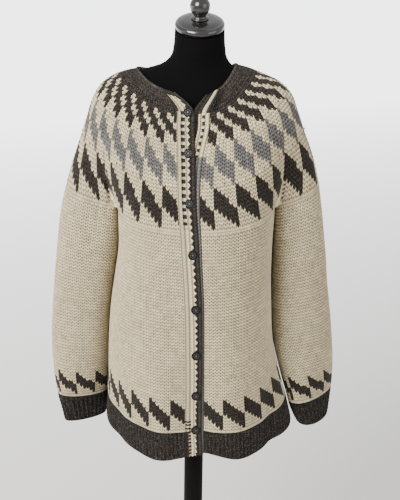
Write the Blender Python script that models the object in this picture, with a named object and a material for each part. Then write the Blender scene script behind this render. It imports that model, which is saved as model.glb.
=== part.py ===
"""A hand-knitted round-yoke cardigan, buttoned up on a limbless dress form with a pole and a base.

Metres, +Z up. The origin is on the floor under the pole, the front faces -Y and +X is the viewer's
right, so left and right in the names are as seen from the front.

The cloth is a set of walls on three surfaces that share their edges: the yoke, the body below it
and the two sleeves. Each surface is a function of a place round the ring and a place down it.
Round the ring, 0 is the front centre, 1 the right side, -1 the left side and 2 or -2 the back.
"""

import math

import bmesh
import bpy
import numpy as np
from mathutils import Vector

# Cloth, as measured on a knitted piece
WALL = 0.0040
SEAM = 0.0003
RIB_RAISE = 0.0014
RIB_PITCH = 0.0086
BAND_WIDTH = 0.031
BAND_RAMP = 0.022
UPPER_BAND_OUT = 0.0026
LOWER_BAND_OUT = -0.0019
EDGE_UP = 0.0022
EDGE_DOWN = -0.0022

# Heights and lengths of the garment
HEM_Z = 0.650
HEM_RIB = 0.057
CUFF_TOP_Z = {-1: 0.713, 1: 0.708}
CUFF_END_Z = 0.650
LEFT_CUFF_TILT = 0.008
CUFF_RIBS = 26
NECKBAND_PART = 0.19
UNDERARM_DIP = 0.012
ARM_RING_Z = 1.13
SHOULDER_BREADTH = 0.10
YOKE_DEPTH = 0.26
BODY_QUARTER = 0.26
HEM_QUARTER = 0.29
SLEEVE_LENGTH = 0.43
ARMPIT_START = 0.45

# Where the armpit valley lies: on the ring, on the body's quarter and on the sleeve's section
VALLEY_ON_RING = 0.636
VALLEY_ON_BODY = 0.82
VALLEY_ON_SLEEVE = 0.14

# Rows of the walls down the front, shared with the bands so that their edges meet
NECK_ROWS = np.linspace(0.0, NECKBAND_PART, 5)
YOKE_ROWS = np.linspace(NECKBAND_PART, 1.0, 10)
BODY_ROWS = np.linspace(0.0, 1.0, 11)
RIB_ROWS = np.array([1.0, 2.0])

# Buttons
BUTTON_HEIGHTS = (1.3090, 1.2425, 1.1580, 1.0665, 0.9630, 0.8710, 0.7880, 0.7160)
BUTTON_RADIUS = 0.009
BUTTON_THICK = 0.0045
BUTTON_ASIDE = 0.004

# Dress form and stand
FORM_BOTTOM_Z = 0.730
SHOULDER_Z = 1.300
SHOULDER_LEAN = 0.055
NECK_Z = 1.390
NECK_TOP_Z = 1.448
NECK_SLANT = math.radians(22)
CAP_RADIUS = 0.0455
CAP_RIM = 0.008
CAP_HEIGHT = 0.020
BALL_RADIUS = 0.0185
POLE_RADIUS = 0.020
BASE_RADIUS = 0.180
BASE_THICK = 0.014
COLLAR_RADIUS = 0.032
COLLAR_TOP_Z = 0.060


def table(columns, *rows):
    """A short table: a named column for each word, and a row for each section, read down."""
    return dict(zip(columns.split(), np.array(rows, float).T))


YOKE = table(
    "at middle left z_left right z_right front z_front back z_back square climb",
    (0.00, -0.006, 0.112, 1.3775, 0.066, 1.3870, 0.077, 1.337, 0.072, 1.362, 2.2, 2.5),
    (0.12, -0.006, 0.136, 1.3725, 0.091, 1.3810, 0.091, 1.317, 0.082, 1.351, 2.2, 2.4),
    (0.25, -0.006, 0.160, 1.3630, 0.121, 1.3695, 0.105, 1.292, 0.092, 1.335, 2.2, 2.2),
    (0.36, -0.006, 0.181, 1.3480, 0.150, 1.3560, 0.116, 1.269, 0.101, 1.317, 2.25, 2.1),
    (0.46, -0.005, 0.197, 1.3230, 0.172, 1.3350, 0.126, 1.246, 0.109, 1.298, 2.3, 2.0),
    (0.58, -0.004, 0.208, 1.2900, 0.186, 1.3020, 0.136, 1.218, 0.118, 1.270, 2.35, 2.0),
    (0.70, -0.003, 0.219, 1.2560, 0.199, 1.2670, 0.145, 1.187, 0.125, 1.238, 2.4, 2.0),
    (0.85, -0.002, 0.236, 1.2050, 0.219, 1.2150, 0.153, 1.148, 0.132, 1.193, 2.4, 2.0),
    (1.00, -0.001, 0.252, 1.1500, 0.234, 1.1600, 0.157, 1.105, 0.136, 1.138, 2.4, 2.0),
)
BODY = table(
    "at left right front back square",
    (0.650, 0.184, 0.203, 0.167, 0.150, 2.0),
    (0.720, 0.179, 0.186, 0.166, 0.147, 2.2),
    (0.780, 0.176, 0.170, 0.164, 0.143, 2.3),
    (0.840, 0.174, 0.157, 0.162, 0.139, 2.4),
    (0.930, 0.167, 0.149, 0.161, 0.135, 2.6),
    (0.990, 0.158, 0.146, 0.161, 0.134, 2.7),
    (1.050, 0.150, 0.1455, 0.160, 0.135, 2.8),
    (1.110, 0.150, 0.147, 0.157, 0.136, 3.0),
    (1.170, 0.150, 0.148, 0.155, 0.136, 3.0),
)
BODY_FOLDS = table(
    "place width depth start",
    (0.010, 0.130, -0.012, 1.02),
    (-0.240, 0.120, 0.008, 0.98),
    (0.300, 0.120, 0.008, 0.98),
    (0.600, 0.080, -0.008, 0.88),
    (0.830, 0.120, 0.006, 0.84),
    (-0.640, 0.100, -0.006, 0.90),
    (-1.450, 0.140, -0.008, 0.96),
    (1.520, 0.130, -0.008, 0.94),
    (1.970, 0.160, 0.008, 0.98),
)
HEM = table(
    "at rise rib",
    (-2.00, 0.006, 0.006),
    (-1.50, 0.014, 0.014),
    (-1.00, 0.027, 0.027),
    (-0.60, 0.012, 0.012),
    (-0.25, 0.001, 0.005),
    (0.00, 0.010, 0.005),
    (0.08, 0.014, 0.005),
    (0.30, 0.004, 0.006),
    (0.60, 0.012, 0.012),
    (1.00, 0.027, 0.027),
    (1.50, 0.014, 0.014),
    (2.00, 0.006, 0.006),
)
SLEEVE_LEFT = table(
    "at clear outer middle_y depth turn square_in",
    (0.640, 0.0050, 0.270, 0.010, 0.019, 20.0, 2.2),
    (0.675, 0.0045, 0.276, 0.010, 0.021, 20.0, 2.2),
    (0.701, 0.0040, 0.282, 0.010, 0.027, 19.0, 2.2),
    (0.730, 0.0040, 0.287, 0.010, 0.037, 16.0, 2.2),
    (0.780, 0.0030, 0.290, 0.011, 0.043, 13.0, 2.3),
    (0.840, 0.0030, 0.290, 0.012, 0.046, 10.0, 2.4),
    (0.900, 0.0030, 0.288, 0.012, 0.049, 6.0, 2.6),
    (0.970, 0.0020, 0.281, 0.010, 0.051, 4.0, 2.6),
    (1.040, 0.0025, 0.274, 0.008, 0.053, 2.0, 3.5),
    (1.100, 0.0010, 0.266, 0.006, 0.055, 0.0, 6.0),
    (1.160, 0.0010, 0.252, 0.005, 0.055, 0.0, 8.0),
)
SLEEVE_RIGHT = table(
    "at clear outer middle_y depth turn square_in",
    (0.640, 0.0200, 0.283, 0.026, 0.023, 55.0, 2.2),
    (0.675, 0.0130, 0.289, 0.026, 0.025, 54.0, 2.2),
    (0.701, 0.0105, 0.292, 0.026, 0.027, 52.0, 2.2),
    (0.730, 0.0100, 0.291, 0.025, 0.033, 46.0, 2.2),
    (0.780, 0.0080, 0.288, 0.022, 0.038, 38.0, 2.2),
    (0.840, 0.0040, 0.281, 0.019, 0.041, 30.0, 2.2),
    (0.900, 0.0020, 0.272, 0.016, 0.044, 22.0, 2.2),
    (0.970, 0.0020, 0.259, 0.012, 0.046, 12.0, 2.4),
    (1.040, 0.0025, 0.251, 0.008, 0.050, 4.0, 3.0),
    (1.100, 0.0015, 0.244, 0.006, 0.052, 0.0, 5.0),
    (1.160, 0.0010, 0.234, 0.005, 0.052, 0.0, 8.0),
)
BANDS = table(
    "at upper lower",
    (0.00, -0.0545, 0.0265),
    (0.06, -0.0385, 0.0170),
    (0.13, -0.0255, 0.0080),
    (0.30, -0.0215, 0.0040),
    (0.50, -0.0195, -0.0060),
    (0.85, -0.0160, -0.0100),
    (1.10, -0.0095, -0.0055),
    (1.37, -0.0030, 0.0000),
    (1.60, -0.0010, 0.0015),
    (2.00, 0.0000, 0.0030),
    (3.00, 0.0025, 0.0045),
)
FORM = table(
    "at half front back square",
    (0.730, 0.150, 0.104, 0.106, 2.3),
    (0.800, 0.153, 0.106, 0.110, 2.3),
    (0.900, 0.138, 0.098, 0.100, 2.2),
    (0.990, 0.118, 0.086, 0.084, 2.2),
    (1.080, 0.130, 0.108, 0.090, 2.2),
    (1.160, 0.142, 0.122, 0.096, 2.3),
    (1.240, 0.150, 0.100, 0.094, 2.4),
    (1.300, 0.158, 0.072, 0.078, 2.3),
    (1.336, 0.156, 0.062, 0.066, 2.2),
    (1.350, 0.146, 0.050, 0.054, 2.0),
    (1.361, 0.127, 0.044, 0.050, 2.0),
    (1.372, 0.098, 0.041, 0.047, 2.0),
    (1.382, 0.070, 0.040, 0.046, 2.0),
    (1.390, 0.059, 0.040, 0.045, 2.0),
    (1.399, 0.052, 0.041, 0.045, 2.0),
    (1.418, 0.0475, 0.042, 0.044, 2.0),
    (1.448, 0.0455, 0.042, 0.042, 2.0),
)


def read(rows, column, place):
    """A column's value at a place down the table, on a smooth curve through its rows."""
    x, y = rows["at"], rows[column]
    slope = np.gradient(y, x)
    place = np.clip(place, x[0], x[-1])
    i = np.clip(np.searchsorted(x, place, side="right") - 1, 0, len(x) - 2)
    step = x[i + 1] - x[i]
    t = (place - x[i]) / step
    rest = 1 - t
    ends = y[i] * rest**2 * (1 + 2 * t) + y[i + 1] * t**2 * (3 - 2 * t)
    return ends + step * t * rest * (slope[i] * rest - slope[i + 1] * t)


def ease(t):
    """0 below 0, 1 above 1, and smooth between."""
    t = np.clip(t, 0.0, 1.0)
    return t * t * (3 - 2 * t)


def mix(a, b, t):
    return a + (b - a) * t


def quarter(reach_x, reach_y, square, part):
    """A quarter of a rounded rectangle from its y end, part 0, to its x end, part 1, evenly spread."""
    angle = part * math.pi / 2
    along_x = np.sqrt(reach_x) * np.sin(angle)
    along_y = np.sqrt(reach_y) * np.cos(angle)
    scale = (np.abs(along_x / reach_x) ** square + np.abs(along_y / reach_y) ** square) ** (-1 / square)
    return scale * along_x, scale * along_y


def ring(middle, left, right, front, back, square, place):
    """x and y at a place round a ring that reaches a different distance to each side."""
    side = np.where(place < 0, -1.0, 1.0)
    turn = np.abs(place)
    reach_x = np.where(place < 0, left + middle, right - middle)
    reach_y = np.where(turn < 1, front, back)
    x, y = quarter(reach_x, reach_y, square, np.where(turn < 1, turn, 2 - turn))
    return middle + side * x, np.where(turn < 1, -y, y)


def yoke_edge_z(x, y):
    """Height of the yoke's lower edge over a point: lowest in front, highest over the sleeves."""
    last = {name: column[-1] for name, column in YOKE.items()}
    base = mix(last["z_front"], last["z_back"], ease(y / SHOULDER_BREADTH + 0.5))
    reach = np.where(x < 0, last["left"], last["right"])
    z_side = np.where(x < 0, last["z_left"], last["z_right"])
    return base + (z_side - base) * (x / reach) ** 2


def fold_depth(place, z):
    """How far the body's folds stand out at a place round the ring: they grow towards the hem."""
    depth = np.zeros(np.broadcast(place, z).shape)
    for i in range(len(BODY_FOLDS["place"])):
        away = np.abs(place - BODY_FOLDS["place"][i])
        away = np.minimum(away, 4 - away) / BODY_FOLDS["width"][i]
        start = BODY_FOLDS["start"][i]
        depth += BODY_FOLDS["depth"][i] * np.exp(-(away**2)) * ease((start - z) / (start - HEM_Z))
    return depth


def body_xy(place, z):
    values = [read(BODY, name, z) for name in ("left", "right", "front", "back", "square")]
    x, y = ring(0.0, *values, place)
    left, right, front, back, _ = values
    out_x = x / np.where(x < 0, left, right) ** 2
    out_y = y / np.where(y < 0, front, back) ** 2
    depth = fold_depth(place, z) / np.hypot(out_x, out_y)
    return x + out_x * depth, y + out_y * depth


def body(place, down):
    """The body: down runs 0 to 1 from the yoke to the rib, and 1 to 2 down the rib to the hem."""
    x, y = body_xy(place, YOKE["z_front"][-1])
    part = np.where(np.abs(place) < 1, np.abs(place), 2 - np.abs(place))
    under = ease((part - VALLEY_ON_BODY) / (1 - VALLEY_ON_BODY))
    top = yoke_edge_z(x, y) - UNDERARM_DIP * under
    rib = HEM_Z + HEM_RIB + read(HEM, "rib", place)
    end = HEM_Z + read(HEM, "rise", place)
    z = np.where(down < 1, mix(top, rib, down), mix(rib, end, down - 1))
    x, y = body_xy(place, z)
    return np.stack([x, y, z], axis=-1)


def sleeve_xy(side, round_part, z):
    """A sleeve's section: round_part is 0 under the arm, 0.25 in front, 0.5 outside, 0.75 behind."""
    rows = SLEEVE_RIGHT if side > 0 else SLEEVE_LEFT
    inner = read(BODY, "right" if side > 0 else "left", z) + read(rows, "clear", z)
    half = (read(rows, "outer", z) - inner) / 2
    depth = read(rows, "depth", z)
    turn = np.radians(read(rows, "turn", z))
    length = np.sqrt(half**2 - (depth * np.sin(turn)) ** 2) / np.cos(turn)
    angle = 2 * math.pi * round_part
    towards_x, towards_y = -side * np.cos(angle), -np.sin(angle)
    square = np.where(np.cos(angle) > 0, read(rows, "square_in", z), 2.2)
    scale = (np.abs(towards_x) ** square + np.abs(towards_y) ** square) ** (-1 / square)
    x, y = scale * length * towards_x, scale * depth * towards_y
    middle_x = side * (inner + half)
    turned_x = middle_x + x * np.cos(turn) - y * np.sin(turn)
    turned_y = read(rows, "middle_y", z) + x * np.sin(turn) + y * np.cos(turn)
    return turned_x, turned_y


def sleeve(side):
    """The sleeve's surface: down runs 0 to 1 from the yoke to the cuff, and 1 to 2 down the cuff."""

    def surface(round_part, down):
        x, y = sleeve_xy(side, round_part, ARM_RING_Z)
        from_under = np.minimum(round_part, 1 - round_part) / VALLEY_ON_SLEEVE
        top = yoke_edge_z(x, y) - UNDERARM_DIP * ease(1 - from_under)
        tilt = LEFT_CUFF_TILT * (side < 0)
        end = CUFF_END_Z + tilt * (1 + np.cos(2 * math.pi * round_part)) / 2
        cuff_top = CUFF_TOP_Z[side]
        z = np.where(down < 1, mix(top, cuff_top, down), mix(cuff_top, end, down - 1))
        x, y = sleeve_xy(side, round_part, z)
        return np.stack([x, y, z], axis=-1)

    return surface


def yoke_plain(place, down):
    """The yoke's rings as if there were no arms: a smooth shade over the shoulders."""
    names = ("middle", "left", "right", "front", "back", "square")
    x, y = ring(*[read(YOKE, name, down) for name in names], place)
    middle = read(YOKE, "middle", down)
    base = mix(read(YOKE, "z_front", down), read(YOKE, "z_back", down), ease(y / SHOULDER_BREADTH + 0.5))
    reach = np.where(place < 0, read(YOKE, "left", down) + middle, read(YOKE, "right", down) - middle)
    z_side = np.where(place < 0, read(YOKE, "z_left", down), read(YOKE, "z_right", down))
    z = base + (z_side - base) * np.abs((x - middle) / reach) ** read(YOKE, "climb", down)
    return np.stack([x, y, z], axis=-1)


def yoke_lower_edge(place):
    """The ring on which the yoke meets the body in front and behind and a sleeve at each side."""
    turn = np.abs(place)
    part = np.where(turn < 1, turn, 2 - turn)
    on_body = np.sign(place) * np.where(
        turn < 1,
        part * VALLEY_ON_BODY / VALLEY_ON_RING,
        2 - part * VALLEY_ON_BODY / VALLEY_ON_RING,
    )
    along_sleeve = (part - VALLEY_ON_RING) / (1 - VALLEY_ON_RING)
    to_outside = mix(VALLEY_ON_SLEEVE, 0.5, np.clip(along_sleeve, 0, 1))
    on_sleeve = np.where(turn < 1, to_outside, 1 - to_outside)
    top = np.zeros_like(place)
    at_sleeve = np.where((place > 0)[..., None], sleeve(1)(on_sleeve, top), sleeve(-1)(on_sleeve, top))
    return np.where((part > VALLEY_ON_RING)[..., None], at_sleeve, body(on_body, top))


def yoke(place, down):
    """The yoke: down runs 0 to 1 from the neck edge. Its armpit valleys fade out upwards."""
    place, down = np.broadcast_arrays(np.asarray(place, float), np.asarray(down, float))
    drawn_in = (np.clip(down - ARMPIT_START, 0, None) / (1 - ARMPIT_START)) ** 2
    change = yoke_lower_edge(place) - yoke_plain(place, np.ones_like(down))
    return yoke_plain(place, down) + drawn_in[..., None] * change


def at_x(surface, x, down):
    """The place round a surface's front where it has this x, by Newton's method."""
    place = np.zeros(np.broadcast(x, down).shape)
    step = 1e-4
    for _ in range(8):
        here = surface(place, down)[..., 0]
        ahead = surface(place + step, down)[..., 0]
        place = np.clip(place + (x - here) * step / (ahead - here), -0.6, 0.6)
    return place


def front(x, down):
    """The front of the garment at x: down is 0 to 1 on the yoke, 1 to 2 on the body, 2 to 3 on the rib."""
    x, down = np.broadcast_arrays(np.asarray(x, float), np.asarray(down, float))
    above = np.clip(down, 0, 1)
    below = np.clip(down - 1, 0, 2)
    on_yoke = yoke(at_x(yoke, x, above), above)
    on_body = body(at_x(body, x, below), below)
    return np.where((down < 1)[..., None], on_yoke, on_body)


def outward(surface, a, b, inside):
    """Unit normals of a surface, by small steps both ways, turned away from the points inside."""
    step = 1e-3
    along = surface(a + step, b) - surface(a - step, b)
    across = surface(a, b + step) - surface(a, b - step)
    normals = np.cross(along, across)
    normals /= np.linalg.norm(normals, axis=-1, keepdims=True)
    away = surface(a, b) - inside
    sign = np.sign((normals * away).sum(axis=-1, keepdims=True))
    return normals * sign


def finish(red, green, blue, roughness, metallic=0.0):
    """A material's values, its colour given as it is seen, 0 to 255."""
    linear = [((c / 255 + 0.055) / 1.055) ** 2.4 for c in (red, green, blue)]
    return (*linear, 1.0), roughness, metallic


CREAM = finish(200, 192, 173, 0.9)
CHARCOAL = finish(60, 54, 50, 0.9)
PEWTER = finish(74, 76, 76, 0.4, 0.9)
JERSEY = finish(17, 17, 18, 0.85)
GLOSS_BLACK = finish(12, 12, 13, 0.15)
BLACK_METAL = finish(18, 18, 19, 0.35)


def solid(name, points, faces, look):
    """A named object from points and faces, its faces turned outwards, with its own material."""
    mesh = bpy.data.meshes.new(name)
    mesh.from_pydata([tuple(p) for p in points], [], faces)
    shell = bmesh.new()
    shell.from_mesh(mesh)
    bmesh.ops.recalc_face_normals(shell, faces=shell.faces)
    shell.to_mesh(mesh)
    shell.free()
    colour, roughness, metallic = look
    material = bpy.data.materials.new(name)
    material.use_nodes = True
    shader = material.node_tree.nodes["Principled BSDF"]
    shader.inputs["Base Color"].default_value = colour
    shader.inputs["Roughness"].default_value = roughness
    shader.inputs["Metallic"].default_value = metallic
    mesh.materials.append(material)
    mesh.shade_smooth()
    mesh.set_sharp_from_angle(angle=math.radians(40))
    thing = bpy.data.objects.new(name, mesh)
    bpy.context.scene.collection.objects.link(thing)
    return thing


def wall(name, surface, a, b, look, inside, closed=False, lift=0.0, raised=0.0, level=()):
    """A cloth wall on a grid of places, a round the ring and b down it, one row of the grid a level.

    The outer points are lifted with the wall and raised on their own, the inner points are plain.
    level names the rows, 0 or -1, whose rim lies level, to meet the next piece's rim.
    """
    a, b = np.broadcast_arrays(a, b)
    normals = outward(surface, a, b, inside)
    on_surface = surface(a, b)
    base = on_surface + normals * np.reshape(lift, np.shape(lift) + (1,))
    outer = base + normals * np.reshape(raised, np.shape(raised) + (1,))
    inner = base - normals * WALL
    for row in level:
        outer[row, :, 2] = inner[row, :, 2] = on_surface[row, :, 2]
    rows, columns = a.shape
    points = np.concatenate([outer.reshape(-1, 3), inner.reshape(-1, 3)])
    out = np.arange(rows * columns).reshape(rows, columns)
    into = out + rows * columns
    if closed:
        out = np.concatenate([out, out[:, :1]], axis=1)
        into = np.concatenate([into, into[:, :1]], axis=1)
    faces = []
    for grid, flip in ((out, False), (into, True)):
        quads = np.stack([grid[:-1, :-1], grid[:-1, 1:], grid[1:, 1:], grid[1:, :-1]], axis=-1)
        quads = quads.reshape(-1, 4)
        faces.extend((quads[:, ::-1] if flip else quads).tolist())
    edges = [(out[0], into[0]), (into[-1], out[-1])]
    if not closed:
        edges += [(into[:, 0], out[:, 0]), (out[:, -1], into[:, -1])]
    for first, second in edges:
        faces.extend(np.stack([first[:-1], second[:-1], second[1:], first[1:]], axis=-1).tolist())
    return solid(name, points, faces, look)


def turned(name, profile, segments, look):
    """A turned piece round its own Z axis: profile is radius and height, from the axis to the axis."""
    turns = np.arange(segments) * 2 * math.pi / segments
    points, rings = [], []
    for radius, z in profile:
        if radius == 0:
            rings.append([len(points)] * segments)
            points.append((0.0, 0.0, z))
            continue
        rings.append(list(range(len(points), len(points) + segments)))
        points.extend((radius * math.cos(t), radius * math.sin(t), z) for t in turns)
    faces = []
    for low, high in zip(rings, rings[1:]):
        for i in range(segments):
            j = (i + 1) % segments
            faces.append(list(dict.fromkeys((low[i], low[j], high[j], high[i]))))
    return solid(name, points, faces, look)


def arc(radius, z, turn, start, end, steps):
    """Profile points on a circle's arc: radius and z of its centre, its own radius, and its angles."""
    angles = np.radians(np.linspace(start, end, steps + 1))
    return [(radius + turn * math.cos(t), z + turn * math.sin(t)) for t in angles]


def body_axis(points):
    """For each point, one on the garment's own middle line and well below it."""
    middle = points.copy()
    middle[..., :2] = 0.0
    middle[..., 2] -= YOKE_DEPTH
    return middle


def band_edges(down):
    """x of the left front's edge and of the right front's edge, where the bands begin."""
    left = read(BANDS, "upper", down) - BAND_WIDTH / 2 - SEAM
    right = read(BANDS, "lower", down) + BAND_WIDTH / 2 + SEAM
    return left, right


def edge_lift(points, down):
    """The left front rises to the band on top near its edge, and the right front dips under it."""
    left, right = band_edges(down)
    x = points[..., 0]
    near_left = EDGE_UP * ease(1 - (left - x) / BAND_RAMP)
    near_right = EDGE_DOWN * ease(1 - (x - right) / BAND_RAMP)
    middle = (left + right) / 2
    in_front = points[..., 1] < 0
    return np.where(in_front, np.where(x < middle, near_left, near_right), 0.0)


def front_wall(name, surface, side, b, ends, counts, look, ribs=False):
    """A body wall from a front edge round to where it ends, in runs with their own counts."""
    left, right = band_edges(b + 1)
    start = at_x(surface, left if side < 0 else right, b)
    runs = [start[:, None]]
    last = start[:, None]
    for end, count in zip(ends, counts):
        steps = np.arange(1, count + 1) / count
        runs.append(mix(last, side * end, steps[None, :]))
        last = np.full_like(last, side * end)
    a = np.concatenate(runs, axis=1)
    b = np.broadcast_to(b[:, None], a.shape)
    points = surface(a, b)
    raised = np.broadcast_to(RIB_RAISE * ribs * (np.arange(a.shape[1]) % 2), a.shape)
    level = (0,) if ribs else (0, -1)
    lift = edge_lift(points, b + 1)
    return wall(name, surface, a, b, look, body_axis(points), lift=lift, raised=raised, level=level)


def round_front_wall(name, surface, b, look, level):
    """The yoke or the neckband: from the left edge round the back to the right edge."""
    left, right = band_edges(b)
    start, stop = at_x(surface, left, b)[:, None], at_x(surface, right, b)[:, None]
    key = [VALLEY_ON_RING, 1.0, 2 - VALLEY_ON_RING, 2.0]
    counts = [8, 5, 5, 8]
    left_half, last = [start], start
    for end, count in zip(key, counts):
        left_half.append(mix(last, -end, (np.arange(1, count + 1) / count)[None, :]))
        last = np.full_like(start, -end)
    right_half, last = [stop], stop
    for end, count in zip(key, counts):
        right_half.append(mix(last, end, (np.arange(1, count + 1) / count)[None, :]))
        last = np.full_like(stop, end)
    a = np.concatenate(left_half + [np.concatenate(right_half, axis=1)[:, -2::-1]], axis=1)
    b = np.broadcast_to(b[:, None], a.shape)
    points = surface(a, b)
    lift = edge_lift(points, b)
    return wall(name, surface, a, b, look, body_axis(points), lift=lift, level=level)


def make_yoke():
    seam = SEAM / YOKE_DEPTH
    rows = YOKE_ROWS.copy()
    rows[0] += seam
    rows[-1] -= seam
    round_front_wall("yoke", yoke, rows, CREAM, level=(-1,))
    rows = NECK_ROWS.copy()
    rows[-1] -= seam
    round_front_wall("neckband", yoke, rows, CHARCOAL, level=())


def make_body():
    """The two fronts and the back, each with its ribbed hem."""
    side_gap = SEAM / 2 / BODY_QUARTER
    side_end = 1 - side_gap
    rows = BODY_ROWS.copy()
    rows[-1] -= SEAM / (YOKE["z_front"][-1] - HEM_Z - HEM_RIB)
    for side, word in ((-1, "left"), (1, "right")):
        ends = (VALLEY_ON_BODY, side_end)
        front_wall(f"front_{word}", body, side, rows, ends, (8, 3), CREAM)
        columns = (2 * round(HEM_QUARTER / RIB_PITCH),)
        front_wall(f"hem_front_{word}", body, side, RIB_ROWS, (side_end,), columns, CHARCOAL, ribs=True)
    key = [1 + side_gap, 2 - VALLEY_ON_BODY, 2.0]
    half = np.concatenate([
        np.linspace(key[0], key[1], 4),
        np.linspace(key[1], key[2], 9)[1:],
    ])
    places = np.concatenate([-half, half[-2::-1]])
    a, b = np.meshgrid(places, rows)
    wall("back", body, a, b, CREAM, body_axis(body(a, b)), level=(0, -1))
    columns = 4 * round(HEM_QUARTER / RIB_PITCH) + 1
    steps = np.linspace(-1, 1, columns)
    places = np.where(steps < 0, -mix(2.0, key[0], -steps), mix(2.0, key[0], steps))
    a, b = np.meshgrid(places, RIB_ROWS)
    raised = np.broadcast_to(RIB_RAISE * (np.arange(columns) % 2), a.shape)
    wall("hem_back", body, a, b, CHARCOAL, body_axis(body(a, b)), raised=raised, level=(0,))


def sleeve_axis(surface, a, b):
    """The middle of each row of a sleeve, from which its wall looks out."""
    points = surface(a, b)
    return np.broadcast_to(points.mean(axis=1, keepdims=True), points.shape)


def make_sleeves():
    for side, word in ((-1, "left"), (1, "right")):
        surface = sleeve(side)
        places = np.concatenate([
            np.linspace(-VALLEY_ON_SLEEVE, VALLEY_ON_SLEEVE, 5),
            np.linspace(VALLEY_ON_SLEEVE, 0.5, 6)[1:],
            np.linspace(0.5, 1 - VALLEY_ON_SLEEVE, 6)[1:-1],
        ])
        places = np.mod(places, 1.0)
        rows = np.linspace(0, 1 - SEAM / SLEEVE_LENGTH, 11)
        a, b = np.meshgrid(places, rows)
        axis = sleeve_axis(surface, a, b)
        wall(f"sleeve_{word}", surface, a, b, CREAM, axis, closed=True, level=(0, -1))
        a, b = np.meshgrid(np.arange(2 * CUFF_RIBS) / (2 * CUFF_RIBS), RIB_ROWS)
        raised = np.broadcast_to(RIB_RAISE * (np.arange(2 * CUFF_RIBS) % 2), a.shape)
        axis = sleeve_axis(surface, a, b)
        wall(f"cuff_{word}", surface, a, b, CHARCOAL, axis, closed=True, raised=raised, level=(0,))


def make_band(name, column, out, rows):
    """A crocheted band: a strip of the front's own surface, moved out and given its thickness."""
    middle = read(BANDS, column, rows)
    across = np.linspace(-0.5, 0.5, 4) * BAND_WIDTH
    x = middle[:, None] + across[None, :]
    down = np.broadcast_to(rows[:, None], x.shape)
    axis = body_axis(front(x, down))
    return wall(name, front, x, down, CREAM, axis, lift=np.full(x.shape, out))


def make_bands():
    rows = np.concatenate([NECK_ROWS, YOKE_ROWS[1:], 1 + BODY_ROWS[1:], 1 + RIB_ROWS[1:]])
    make_band("buttonhole_band", "upper", UPPER_BAND_OUT, rows)
    make_band("button_band", "lower", LOWER_BAND_OUT, rows)


def make_buttons():
    """Turned buttons on the upper band: a domed face in a raised rim, a flat back."""
    down = np.linspace(0, 3, 601)
    heights = front(read(BANDS, "upper", down), down)[:, 2]
    radius, thick = BUTTON_RADIUS, BUTTON_THICK
    profile = [
        (0.0, 0.0),
        (0.78 * radius, 0.0),
        (radius, 0.30 * thick),
        (0.94 * radius, 0.72 * thick),
        (0.76 * radius, 0.60 * thick),
        (0.45 * radius, 0.90 * thick),
        (0.0, thick),
    ]
    for number, height in enumerate(BUTTON_HEIGHTS, start=1):
        place = np.interp(-height, -heights, down)
        x = np.array([read(BANDS, "upper", place) + BUTTON_ASIDE])
        place = np.array([place])
        seat = front(x, place)
        normal = outward(front, x, place, body_axis(seat))[0]
        under = [(i * radius, j * radius / YOKE_DEPTH) for i in (-1, 0, 1) for j in (-1, 0, 1)]
        touch = np.array([front(x + across, place + along)[0] for across, along in under])
        proud = ((touch - seat[0]) @ normal).max()
        button = turned(f"button_{number}", profile, 16, PEWTER)
        button.location = seat[0] + normal * (UPPER_BAND_OUT + proud + SEAM)
        button.rotation_euler = Vector(normal).to_track_quat("Z", "Y").to_euler()


def make_form():
    """The padded torso and neck in one: rings from the table, level below and slanted at the neck."""
    shoulder = FORM["at"][FORM["at"] > SHOULDER_Z]
    heights = np.concatenate([np.linspace(FORM_BOTTOM_Z, SHOULDER_Z, 12), shoulder])
    places = np.linspace(-2, 2, 33)[:-1]
    a, z = np.meshgrid(places, heights)
    values = [read(FORM, name, z) for name in ("half", "half", "front", "back", "square")]
    x, y = ring(0.0, *values, a)
    neck = ease((z - NECK_Z) / (NECK_TOP_Z - NECK_Z))
    lean = ease((z - SHOULDER_Z) / (NECK_Z - SHOULDER_Z)) * (1 - neck)
    z = z - x * SHOULDER_LEAN * lean + y * math.tan(NECK_SLANT) * neck
    points = np.stack([x, y, z], axis=-1).reshape(-1, 3)
    grid = np.arange(len(points)).reshape(a.shape)
    grid = np.concatenate([grid, grid[:, :1]], axis=1)
    quads = np.stack([grid[:-1, :-1], grid[:-1, 1:], grid[1:, 1:], grid[1:, :-1]], axis=-1)
    faces = quads.reshape(-1, 4).tolist() + [grid[0, :-1].tolist(), grid[-1, :-1].tolist()]
    solid("form_torso", points, faces, JERSEY)


def make_cap_and_finial():
    """Turned pieces whose axis leans forward with the slanted neck."""
    profile = [(0.0, 0.0)] + arc(CAP_RADIUS - CAP_RIM, CAP_RIM, CAP_RIM, -90, 70, 6)
    profile += [(0.026, CAP_HEIGHT - 0.0015), (0.015, CAP_HEIGHT), (0.0, CAP_HEIGHT)]
    cap = turned("neck_cap", profile, 32, GLOSS_BLACK)
    foot, neck = 0.016, 0.0095
    ball = 0.0045 + BALL_RADIUS
    profile = [(0.0, 0.0), (foot - 0.001, 0.0), (foot, 0.0015), (foot - 0.002, 0.0035)]
    profile += arc(0.0, ball, BALL_RADIUS, -52, 62, 7)
    tip = ball + BALL_RADIUS
    profile += [(neck - 0.0015, tip), (neck, tip + 0.004), (neck - 0.003, tip + 0.009), (0.0, tip + 0.011)]
    finial = turned("finial", profile, 20, GLOSS_BLACK)
    axis = Vector((0.0, -math.sin(NECK_SLANT), math.cos(NECK_SLANT)))
    for thing, along in ((cap, SEAM), (finial, CAP_HEIGHT + 2 * SEAM)):
        thing.location = Vector((0.0, 0.0, NECK_TOP_Z)) + axis * along
        thing.rotation_euler.x = NECK_SLANT


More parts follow.
